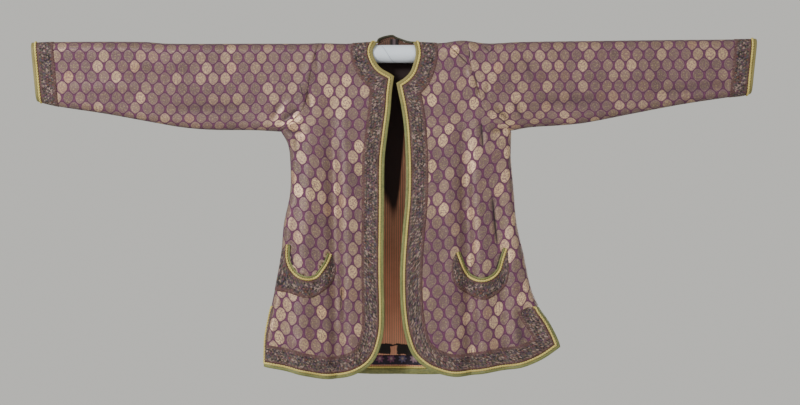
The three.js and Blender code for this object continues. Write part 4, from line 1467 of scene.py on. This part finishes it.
def inner_flower(s, across, q, flecks):
    """Where the flower of five petals inside a motif lies."""
    turning = s.math("COSINE", s.times(s.math("ARCTAN2", q, across), 5.0))
    away = s.math("SQRT", s.times_plus(across, across, s.times(q, q)))
    petals = s.math("ABSOLUTE", s.minus(away, s.times_plus(turning, 0.13, 0.5)))
    flower = s.math("MAXIMUM", s.step(petals, 0.16, 0.05), s.step(away, 0.2, 0.1))
    return s.times(flower, s.step(flecks, 0.40, 0.54, 0.2, 1))


def painted_shadow_lines(s, spot):
    """Where painted shadow lies along small creases and in the pocket slits."""
    dark = 0.0
    for x0, z0, x1, z1, width in SHADOW_LINES:
        mask = s.group(SHADOW_LINE_GROUP, Place=spot, Start=(x0, 0, z0), End=(x1, 0, z1), Width=width)["Mask"]
        dark = s.math("MAXIMUM", dark, mask)
    return dark


def brocade(up, lean, glint):
    """Pointed ovals of metal thread in staggered rows on a purple ground, with painted sheen in some
    columns.
    """

    def look(s):
        place, spot = s.place(), s.spot((1000, 0, 1000))
        cells, middle, across, q = motif(s, place, up, lean)
        chance, other, _ = s.levels(cells["Chance"])
        high = s.math("POWER", s.math("ABSOLUTE", q), 1.6)
        reach = s.math("SQRT", s.times_plus(across, across, high))
        oval = s.times(s.step(reach, 1.03, 0.96), s.step(cells["Apart"], 1.2, 3.4))
        bright = sheen_and_tone(s, middle, chance, glint, spot)
        flecks = s.noise(place, 0.28, 3.0, 0.75)
        metal = metal_thread(s, bright, other, flecks)
        flower = s.times(inner_flower(s, across, q, flecks), s.times_plus(bright, 0.5, 0.35))
        metal = s.mix(flower, metal, MAUVE)
        metal = s.mix(s.step(reach, 0.72, 0.98, 0, 0.5), metal, MAUVE)
        outline = s.math("ABSOLUTE", s.minus(reach, 1.04))
        ground = s.mix(s.step(outline, 0.10, 0.02, 0, 0.7), PURPLE, DEEP_PURPLE)
        ground = s.mix(s.step(flecks, 0.5, 0.62, 0, 0.3), ground, FADED_PURPLE)
        colour = clouded(s, s.mix(oval, ground, metal), place, 0.16, 70.0)
        shade = s.node("ShaderNodeAttribute", attribute_name="shade").outputs["Fac"]
        # Painted shade in the creases and round the folds, from the shade attribute.
        colour = s.mix(s.times(shade, 0.6), colour, rgb(34, 18, 26))
        # Painted shadow lines along small creases and in the pocket slits.
        colour = s.mix(s.times(painted_shadow_lines(s, spot), 0.85), colour, rgb(24, 10, 16))
        raised = s.plus(s.times(oval, 0.3), s.times(ribs(s, place, 0.7), 0.12))
        return {
            "Base Color": colour,
            "Metallic": s.times(oval, s.times_plus(bright, 0.35, 0.3)),
            "Roughness": s.times_plus(oval, -0.32, 0.8),
            "height": s.times_plus(flecks, 0.25, raised),
        }

    return look


BROCADE_BODY = {
    "right": finish_material("brocade_right_front", brocade(47.2, 0.04, 0.96), 0.6, bump=0.5),
    "left": finish_material("brocade_left_front", brocade(47.2, -0.11, 0.8), 0.6, bump=0.5),
}
BROCADE_BACK = finish_material("brocade_back", brocade(47.2, 0.0, 0.8), 0.6, bump=0.5)
BROCADE_SLEEVE = finish_material("brocade_sleeve", brocade(43.0, 0.0, 0.5), 0.6, bump=0.5)
print("brocades made")


# %% Woven border
LEAVES = (
    (0, rgb(92, 94, 70)), (0.35, rgb(120, 112, 94)), (0.7, rgb(84, 78, 82)), (1, rgb(108, 84, 68)),
)
FLOWERS = (
    (0, rgb(148, 134, 118)), (0.2, rgb(118, 76, 88)), (0.36, rgb(112, 108, 88)), (0.5, rgb(116, 62, 54)),
    (0.64, rgb(92, 82, 98)), (0.8, rgb(136, 116, 96)), (1, rgb(108, 66, 78)),
)
PETALS = (
    (0, rgb(112, 68, 98)), (0.35, rgb(92, 104, 92)), (0.6, rgb(90, 82, 110)), (0.8, rgb(118, 80, 68)),
)
FACING_FLOWERS = ((0, rgb(104, 60, 88)), (0.5, rgb(84, 76, 104)), (0.8, rgb(122, 96, 108)))


def flower_field(s, place, size, petals, reach):
    """The chance of each small flower, and how far out a place lies in it: 1 at the petals' edge."""
    cells = s.group(CELLS, Place=place, Across=size, Up=size * 1.7)
    x, y, _ = s.split(cells["Local"])
    angle = s.math("ARCTAN2", y, x)
    away = s.vector("LENGTH", cells["Local"])
    lobes = s.times_plus(s.math("COSINE", s.times(angle, petals)), 0.26, 1.0)
    away = s.over(away, s.times(lobes, reach))
    return s.levels(cells["Chance"])[0], away


def border_look(s):
    place = s.place()
    u, d, _ = s.split(place)
    dark = s.mix(s.noise(place, 0.35, 3.0, 0.7), rgb(46, 34, 36), rgb(88, 70, 64))
    chance, away = flower_field(s, s.vector("ADD", place, (2.6, 0, 0)), 5.4, 3.0, 1.9)
    leaf = s.ramp(chance, LEAVES)
    field = s.mix(s.step(away, 1.1, 0.85), dark, leaf)
    chance, away = flower_field(s, place, 6.6, 5.0, 2.1)
    flower = s.ramp(chance, FLOWERS, "CONSTANT")
    field = s.mix(s.step(away, 1.08, 0.9), field, flower)
    field = s.mix(s.step(away, 0.42, 0.3), field, rgb(160, 138, 92))
    petals = s.node("ShaderNodeTexVoronoi", {"Vector": place, "Scale": 0.34}).outputs
    pick, hue, _ = s.levels(petals["Color"])
    tint = s.ramp(hue, PETALS, "CONSTANT")
    field = s.mix(s.step(pick, 0.45, 0.5, 0, 0.55), field, tint)
    field = s.mix(s.step(pick, 0.86, 0.9, 0, 0.8), field, rgb(184, 166, 150))
    field = s.mix(s.step(pick, 0.2, 0.14, 0, 0.8), field, rgb(28, 20, 26))
    speck = s.noise(place, 0.5, 2.0, 0.8)
    field = s.mix(s.step(speck, 0.43, 0.34, 0, 0.5), field, rgb(34, 26, 36))
    inner = s.minus(BORDER_WIDTH - 1.6, d)
    to_edge = s.math("MINIMUM", d, inner)
    waves = s.math("SINE", s.times(u, 2 * math.pi / 5.2))
    vine = s.math("ABSOLUTE", s.minus(s.times_plus(waves, 1.1, 3.3), to_edge))
    guard = s.mix(s.step(vine, 1.0, 0.5), rgb(112, 78, 76), rgb(132, 106, 96))
    dots = s.step(s.math("ABSOLUTE", waves), 0.9, 0.98)
    guard = s.mix(s.times(dots, 0.7), guard, rgb(120, 40, 52))
    colour = s.mix(s.step(to_edge, 5.6, 2.6, 0, 0.6), field, guard)
    colour = s.mix(1.0, colour, rgb(200, 190, 192), "MULTIPLY")
    colour = clouded(s, colour, place, 0.3, 26.0)
    raised = s.times_plus(speck, 0.5, s.times(ribs(s, place, 0.6), 0.2))
    return {"Base Color": colour, "height": raised}


BORDER = finish_material("woven_border", border_look, 0.82, bump=0.45)


def facing_look(s):
    place = s.place()
    chance, away = flower_field(s, place, 24.0, 7.0, 8.2)
    ground = s.mix(s.noise(place, 0.2, 3.0, 0.7), rgb(24, 20, 34), rgb(44, 30, 50))
    flower = s.ramp(chance, FACING_FLOWERS, "CONSTANT")
    colour = s.mix(s.step(away, 1.0, 0.8), ground, flower)
    colour = s.mix(s.step(away, 0.4, 0.25), colour, rgb(146, 126, 124))
    return {"Base Color": colour, "height": ribs(s, place, 0.6)}


FACING = finish_material("flowered_facing", facing_look, 0.85, bump=0.3)
print("border and facing made")


# %% Striped lining
STRIPES = (
    (0, rgb(250, 178, 144)), (0.30, rgb(242, 168, 136)), (0.36, rgb(84, 38, 36)), (0.52, rgb(90, 42, 38)),
    (0.56, rgb(236, 206, 160)), (0.70, rgb(226, 186, 144)), (0.75, rgb(96, 54, 46)),
    (0.87, rgb(102, 58, 48)), (0.93, rgb(250, 178, 144)),
)


def striped(s, place):
    """Clean cloth with narrow stripes that sway a little."""
    u, _, _ = s.split(place)
    sway = s.times(s.noise(s.vector("DIVIDE", place, (30, 200, 1)), 1.0, 1.0), 3.0)
    stripes = s.ramp(s.math("FRACT", s.over(s.plus(u, sway), 4.6)), STRIPES)
    return clouded(s, stripes, place, 0.25, 60.0)


def lining_look(s):
    place = s.place()
    return {"Base Color": striped(s, place), "height": ribs(s, place, 0.8)}


def back_lining_look(s):
    """The striped lining with painted shadow in its upper part and painted light towards the opening below,
    and a dark worn band above the facing.
    """
    place, spot = s.place(), s.spot()
    x, _, z = s.split(spot)
    rough = s.noise(s.vector("DIVIDE", spot, (22, 22, 60)), 1.0, 3.0)
    rough = s.times(s.minus(rough, 0.5), 50.0)
    to_right = s.math("MAXIMUM", s.plus(x, 5.0), 0.0)
    to_left = s.math("MAXIMUM", s.minus(-5.0, x), 0.0)
    valley = s.times_plus(s.times(to_right, to_right), -0.3, s.times(to_left, -2.2))
    # Painted shadow: dark in a V below the neck, where the fronts and the rod shade the lining.
    painted_shadow = s.step(s.plus(s.plus(z, valley), rough), -362, -312)
    painted_shadow = s.math("MAXIMUM", painted_shadow, s.step(z, -170, -120))
    painted_shadow = s.times(painted_shadow, s.step(z, 14, 4, 0.84, 1))
    # Painted shade darker upwards, and painted light on the lower lining near the opening.
    colour = s.mix(s.step(z, -500, -380, 0, 0.22), striped(s, place), rgb(60, 34, 24))
    colour = s.mix(s.step(z, -380, -500, 0, 0.36), colour, rgb(218, 152, 124))
    colour = s.mix(painted_shadow, colour, rgb(34, 14, 12))
    ragged = s.noise(s.vector("DIVIDE", spot, (9, 9, 9)), 1.0, 2.0)
    ragged = s.times(s.minus(ragged, 0.5), 9.0)
    slanted = s.times_plus(x, 0.06, s.plus(z, ragged))
    band = s.times(s.step(slanted, -601, -603), s.step(slanted, -625, -623))
    patch = s.math("ABSOLUTE", s.plus(s.plus(x, 3.0), s.times(ragged, 0.8)))
    band = s.times(band, s.math("MAXIMUM", s.step(patch, 5.5, 7.0), s.step(slanted, -608, -606)))
    return {"Base Color": s.mix(band, colour, rgb(30, 24, 22)), "height": ribs(s, place, 0.8)}


LINING = finish_material("striped_lining", lining_look, 0.8, bump=0.25)
BACK_LINING = finish_material("striped_lining_painted_shadow", back_lining_look, 0.8, bump=0.25)
print("linings made")


# %% Silk binding, piping, loop and rod
WINDING = 70.0
LOOP_BANDS = (
    (0, rgb(20, 10, 10)), (0.26, rgb(24, 14, 12)), (0.34, rgb(84, 68, 72)), (0.62, rgb(90, 74, 76)),
    (0.7, rgb(26, 16, 16)),
)


def silk(base, pulled_to, at_neck):
    """Plain silk, lighter where threads are pulled, turning to at_neck in its upper part."""

    def look(s):
        place = s.place()
        z = s.split(s.spot())[2]
        pulled = s.noise(s.vector("DIVIDE", place, (7, 3, 1)), 1.0, 3.0, 0.6)
        colour = s.mix(s.step(pulled, 0.35, 0.65), base, pulled_to)
        colour = s.mix(s.step(z, -150, -50, 0, 0.75), colour, at_neck)
        colour = clouded(s, colour, place, 0.2, 50.0)
        raised = s.times_plus(pulled, 0.8, s.times(ribs(s, place, 0.5), 0.15))
        return {"Base Color": colour, "height": raised}

    return look


def cord_look(s):
    spot = s.spot()
    soil = s.noise(s.vector("DIVIDE", spot, (30, 30, 30)), 1.0, 3.0, 0.6)
    fibre = s.noise(spot, 1.4, 2.0)
    colour = s.mix(s.step(soil, 0.35, 0.7), rgb(208, 190, 98), rgb(184, 162, 76))
    return {"Base Color": s.mix(s.times(fibre, 0.35), colour, rgb(232, 220, 150)), "height": fibre}


def loop_look(s):
    place = s.place()
    across = s.math("FRACT", s.over(s.plus(s.split(place)[0], -490.0), 16.5))
    return {"Base Color": s.ramp(across, LOOP_BANDS), "height": ribs(s, place, 0.6)}


def rod_look(s):
    """Pale paper wound round the rod, with the lap of one turn over the next."""
    spot = s.spot()
    x, y, z = s.split(spot)
    angle = s.math("ARCTAN2", z, s.times(y, -1.0))
    climbed = s.times_plus(angle, WINDING / (2 * math.pi), x)
    wound = s.math("FRACT", s.over(s.plus(climbed, 14.8 + 10 * WINDING), WINDING))
    lap = s.step(wound, 0.0, 0.012)
    line = s.times(s.step(wound, 0.95, 0.99), 0.6)
    tint = s.noise(s.vector("DIVIDE", spot, (60, 20, 20)), 1.0, 2.0)
    tint = s.mix(tint, rgb(204, 212, 222), rgb(216, 223, 231))
    return {"Base Color": s.mix(line, tint, rgb(150, 156, 170)), "height": s.times(lap, 0.5)}


OLIVE = silk(rgb(94, 100, 54), rgb(120, 120, 68), rgb(130, 116, 62))
DARK_OLIVE = silk(rgb(44, 46, 30), rgb(70, 68, 44), rgb(50, 48, 32))
GREEN = finish_material("green_silk", OLIVE, 0.55, bump=0.35)
NECK_GREEN = finish_material("dark_green_silk", DARK_OLIVE, 0.6, bump=0.35)
YELLOW = finish_material("yellow_silk_cord", cord_look, 0.6, bump=0.2)
THREAD = finish_material("sewing_thread", rgb(120, 92, 92), 0.7)
LOOP = finish_material("loop_tape", loop_look, 0.8, bump=0.3)
ROD = finish_material("wrapped_rod", rod_look, 0.55, bump=0.6)
# The pocket cloth is painted near black as the shadow inside the slit.
POCKET_SHADOW = finish_material("pocket_cloth_painted_shadow", rgb(46, 28, 40), 0.9)
print("materials:", len(bpy.data.materials))

# %% [markdown]
# ## Dressing the frame
# The cords and stitches are made now that their materials exist. Then each piece is given its finish
# and takes the place of its CAD solid.

# %% Cords and stitches on the coat
PIPING_AT = EDGING_WIDTH + PIPING_WIDTH / 2 - 0.1
BACK_PIPING_AT = BACK_EDGING_WIDTH + PIPING_WIDTH / 2 + 0.2
STITCH_INSET = 1.0
STITCHED_AT = BORDER_START + BORDER_WIDTH - STITCH_INSET
BACK_STITCHED_AT = BACK_START + BORDER_WIDTH - STITCH_INSET
CORD_HEIGHT = 0.9
INNER_CORD_HEIGHT = -3.3
STITCH_HEIGHT = 1.0
for side in SIDES:
    path = path_points(FRONT_TRIM[side](PIPING_AT), -1, CORD_HEIGHT)
    trims[f"{side}_front_piping"] = along_path(f"{side}_front_cord", CORD, path, YELLOW)
    path = path_points(lip_line(side, 0), -1, CORD_HEIGHT)
    trims[f"{side}_pocket_piping"] = along_path(f"{side}_pocket_cord", CORD, path, YELLOW)
    path = cuff_path(side, PIPING_AT, CORD_HEIGHT)
    trims[f"{side}_cuff_piping"] = along_path(f"{side}_cuff_cord", CORD, path, YELLOW, closed=True)
path = path_points(BACK_TRIM(BACK_PIPING_AT), 1, CORD_HEIGHT)
trims["back_hem_piping"] = along_path("back_hem_cord", CORD, path, YELLOW)
inside_x = np.linspace(-LINING_HALF, LINING_HALF, 90)
inside_line = np.stack((inside_x, hem_at(BACK_EDGING_WIDTH + 2.8)(inside_x)), axis=-1)
path = path_points(inside_line, 1, INNER_CORD_HEIGHT)
trims["back_hem_inner_piping"] = along_path("facing_cord", CORD, path, YELLOW)
stitches = {}
for side in SIDES:
    path = path_points(FRONT_TRIM[side](STITCHED_AT), -1, STITCH_HEIGHT)
    stitches[f"{side}_front"] = along_path(f"{side}_front_stitches", STITCH, path, THREAD)
    path = cuff_path(side, STITCHED_AT, STITCH_HEIGHT)
    stitches[f"{side}_sleeve"] = along_path(f"{side}_cuff_stitches", STITCH, path, THREAD, closed=True)
path = path_points(BACK_TRIM(BACK_STITCHED_AT), 1, STITCH_HEIGHT)
stitches["back"] = along_path("back_hem_stitches", STITCH, path, THREAD)
print("cords and stitches made")

# %% Materials on pieces
def wear(piece, *materials):
    piece.data.materials.clear()
    for material in materials:
        piece.data.materials.append(material)


for side in SIDES:
    wear(panels[f"{side}_front"], BROCADE_BODY[side], LINING)
    wear(panels[f"{side}_sleeve"], BROCADE_SLEEVE, LINING)
wear(panels["back"], BROCADE_BACK, BACK_LINING)
FINISHES = {  # by the end of the name; a later line wins over an earlier one
    "edging": GREEN,
    "back_neck_edging": NECK_GREEN,
    "border": BORDER,
    "pocket_back": POCKET_SHADOW,
    "back_lining": BACK_LINING,
    "back_hem_facing": FACING,
    "neck_loop": LOOP,
}
for name, piece in trims.items():
    for ending, material in FINISHES.items():
        if name.endswith(ending):
            wear(piece, material)
pieces = {**panels, **trims}
SLOTS = {
    "edging": "edging",
    "piping": "piping",
    "border": "border",
    "facing": "border",
    "loop": "border",
    "lining": "lining",
}
for node, piece in pieces.items():
    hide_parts(node)
    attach(piece, "root")
    SLOTS.get(node.split("_")[-1], "brocade")
for piece in stitches.values():
    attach(piece, "root")
print("pieces:", len(pieces), "stitched:", len(stitches))

# %% Camera, light and floor
CAMERA_DISTANCE = 5.0
PICTURE_WIDTH = 1.656
camera_data = bpy.data.cameras.new("camera")
camera_data.sensor_width = 36
camera_data.lens = 36 * CAMERA_DISTANCE / PICTURE_WIDTH
camera = bpy.data.objects.new("camera", camera_data)
camera.location = (0.0104, -CAMERA_DISTANCE, -0.3074)
camera.rotation_euler = (math.pi / 2, 0, 0)
bpy.context.collection.objects.link(camera)
bpy.context.scene.camera = camera


def area_light(name, place, aim, size, power):
    data = bpy.data.lights.new(name, "AREA")
    data.shape = "DISK"
    data.size = size
    data.energy = power
    light = bpy.data.objects.new(name, data)
    light.location = place
    direction = np.array(aim) - np.array(place)
    light.rotation_euler = (
        math.atan2(math.hypot(direction[0], direction[1]), -direction[2]),
        0,
        math.atan2(direction[1], direction[0]) - math.pi / 2,
    )
    bpy.context.collection.objects.link(light)


area_light("key", (-2.6, -2.8, 1.3), (0, 0, -0.3), 0.9, 150)
area_light("fill", (2.8, -2.4, 0.6), (0, 0, -0.3), 2.0, 25)
area_light("back_light", (0.5, 2.8, -0.1), (0, 0, -0.3), 2.0, 35)
world = bpy.data.worlds.new("studio")
world.use_nodes = True
world.node_tree.nodes["Background"].inputs["Color"].default_value = rgb(190, 189, 184)
world.node_tree.nodes["Background"].inputs["Strength"].default_value = 1.2
bpy.context.scene.world = world
FLOOR_Z = -1300
FLOOR_HALF = 3000
corners = [(FLOOR_HALF * x, FLOOR_HALF * y, FLOOR_Z) for x, y in ((-1, -1), (1, -1), (1, 1), (-1, 1))]
floor = mesh_object("floor", corners, [(0, 1, 2, 3)])
wear(floor, finish_material("pale_floor", rgb(205, 204, 200), 0.8))
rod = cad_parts["rod"]
wear(rod, ROD)
print("camera at", tuple(round(c, 3) for c in camera.location))

# %% [markdown]
# ## Flat cuts
# A hung coat still has the size it was cut to. The tables list each sheet's flat width and length in
# metres, its area where the cut is no rectangle, what it hangs from, and the trims sewn to it.

# %% Cloth sizes
CUTS = {  # width, length, area, what carries it
    "back": (0.615, 0.712, 0.338, "rod"),
    "right_front": (0.287, 0.718, 0.149, "rod"),
    "left_front": (0.344, 0.722, 0.163, "rod"),
    "right_sleeve": (0.468, 0.592, 0.208, "rod"),
    "left_sleeve": (0.468, 0.596, 0.200, "rod"),
    "right_front_border": (0.035, 0.969, None, "right_front"),
    "left_front_border": (0.035, 0.994, None, "left_front"),
    "back_hem_border": (0.035, 0.713, None, "back"),
    "right_cuff_border": (0.035, 0.310, None, "right_sleeve"),
    "left_cuff_border": (0.035, 0.283, None, "left_sleeve"),
    "right_pocket_border": (0.080, 0.132, 0.0078, "right_front"),
    "left_pocket_border": (0.080, 0.120, 0.0056, "left_front"),
    "right_pocket_back": (0.108, 0.081, 0.0047, "right_front"),
    "left_pocket_back": (0.119, 0.073, 0.0053, "left_front"),
    "back_lining": (0.230, 0.657, 0.143, "back"),
    "back_hem_facing": (0.230, 0.024, None, "back_lining"),
    "neck_loop": (0.0165, 0.021, None, "back"),
}
SEWN_ON = {
    "back": ("back_hem_edging", "back_hem_piping", "back_neck_edging", "back_hem_inner_piping"),
}
for side in SIDES:
    edges = (f"{side}_front", f"{side}_pocket")
    SEWN_ON[f"{side}_front"] = tuple(f"{edge}_{trim}" for edge in edges for trim in ("edging", "piping"))
    SEWN_ON[f"{side}_sleeve"] = (f"{side}_cuff_edging", f"{side}_cuff_piping")
for name, (width, length, area, carrier) in CUTS.items():
    sewn = [pieces[node] for node in SEWN_ON.get(name, ())]
    if name in stitches:
        sewn.append(stitches[name])
cloth_area = sum(area or width * length for width, length, area, _ in CUTS.values())
print("sheets:", len(CUTS), "cloth in all:", round(cloth_area, 2), "m2")
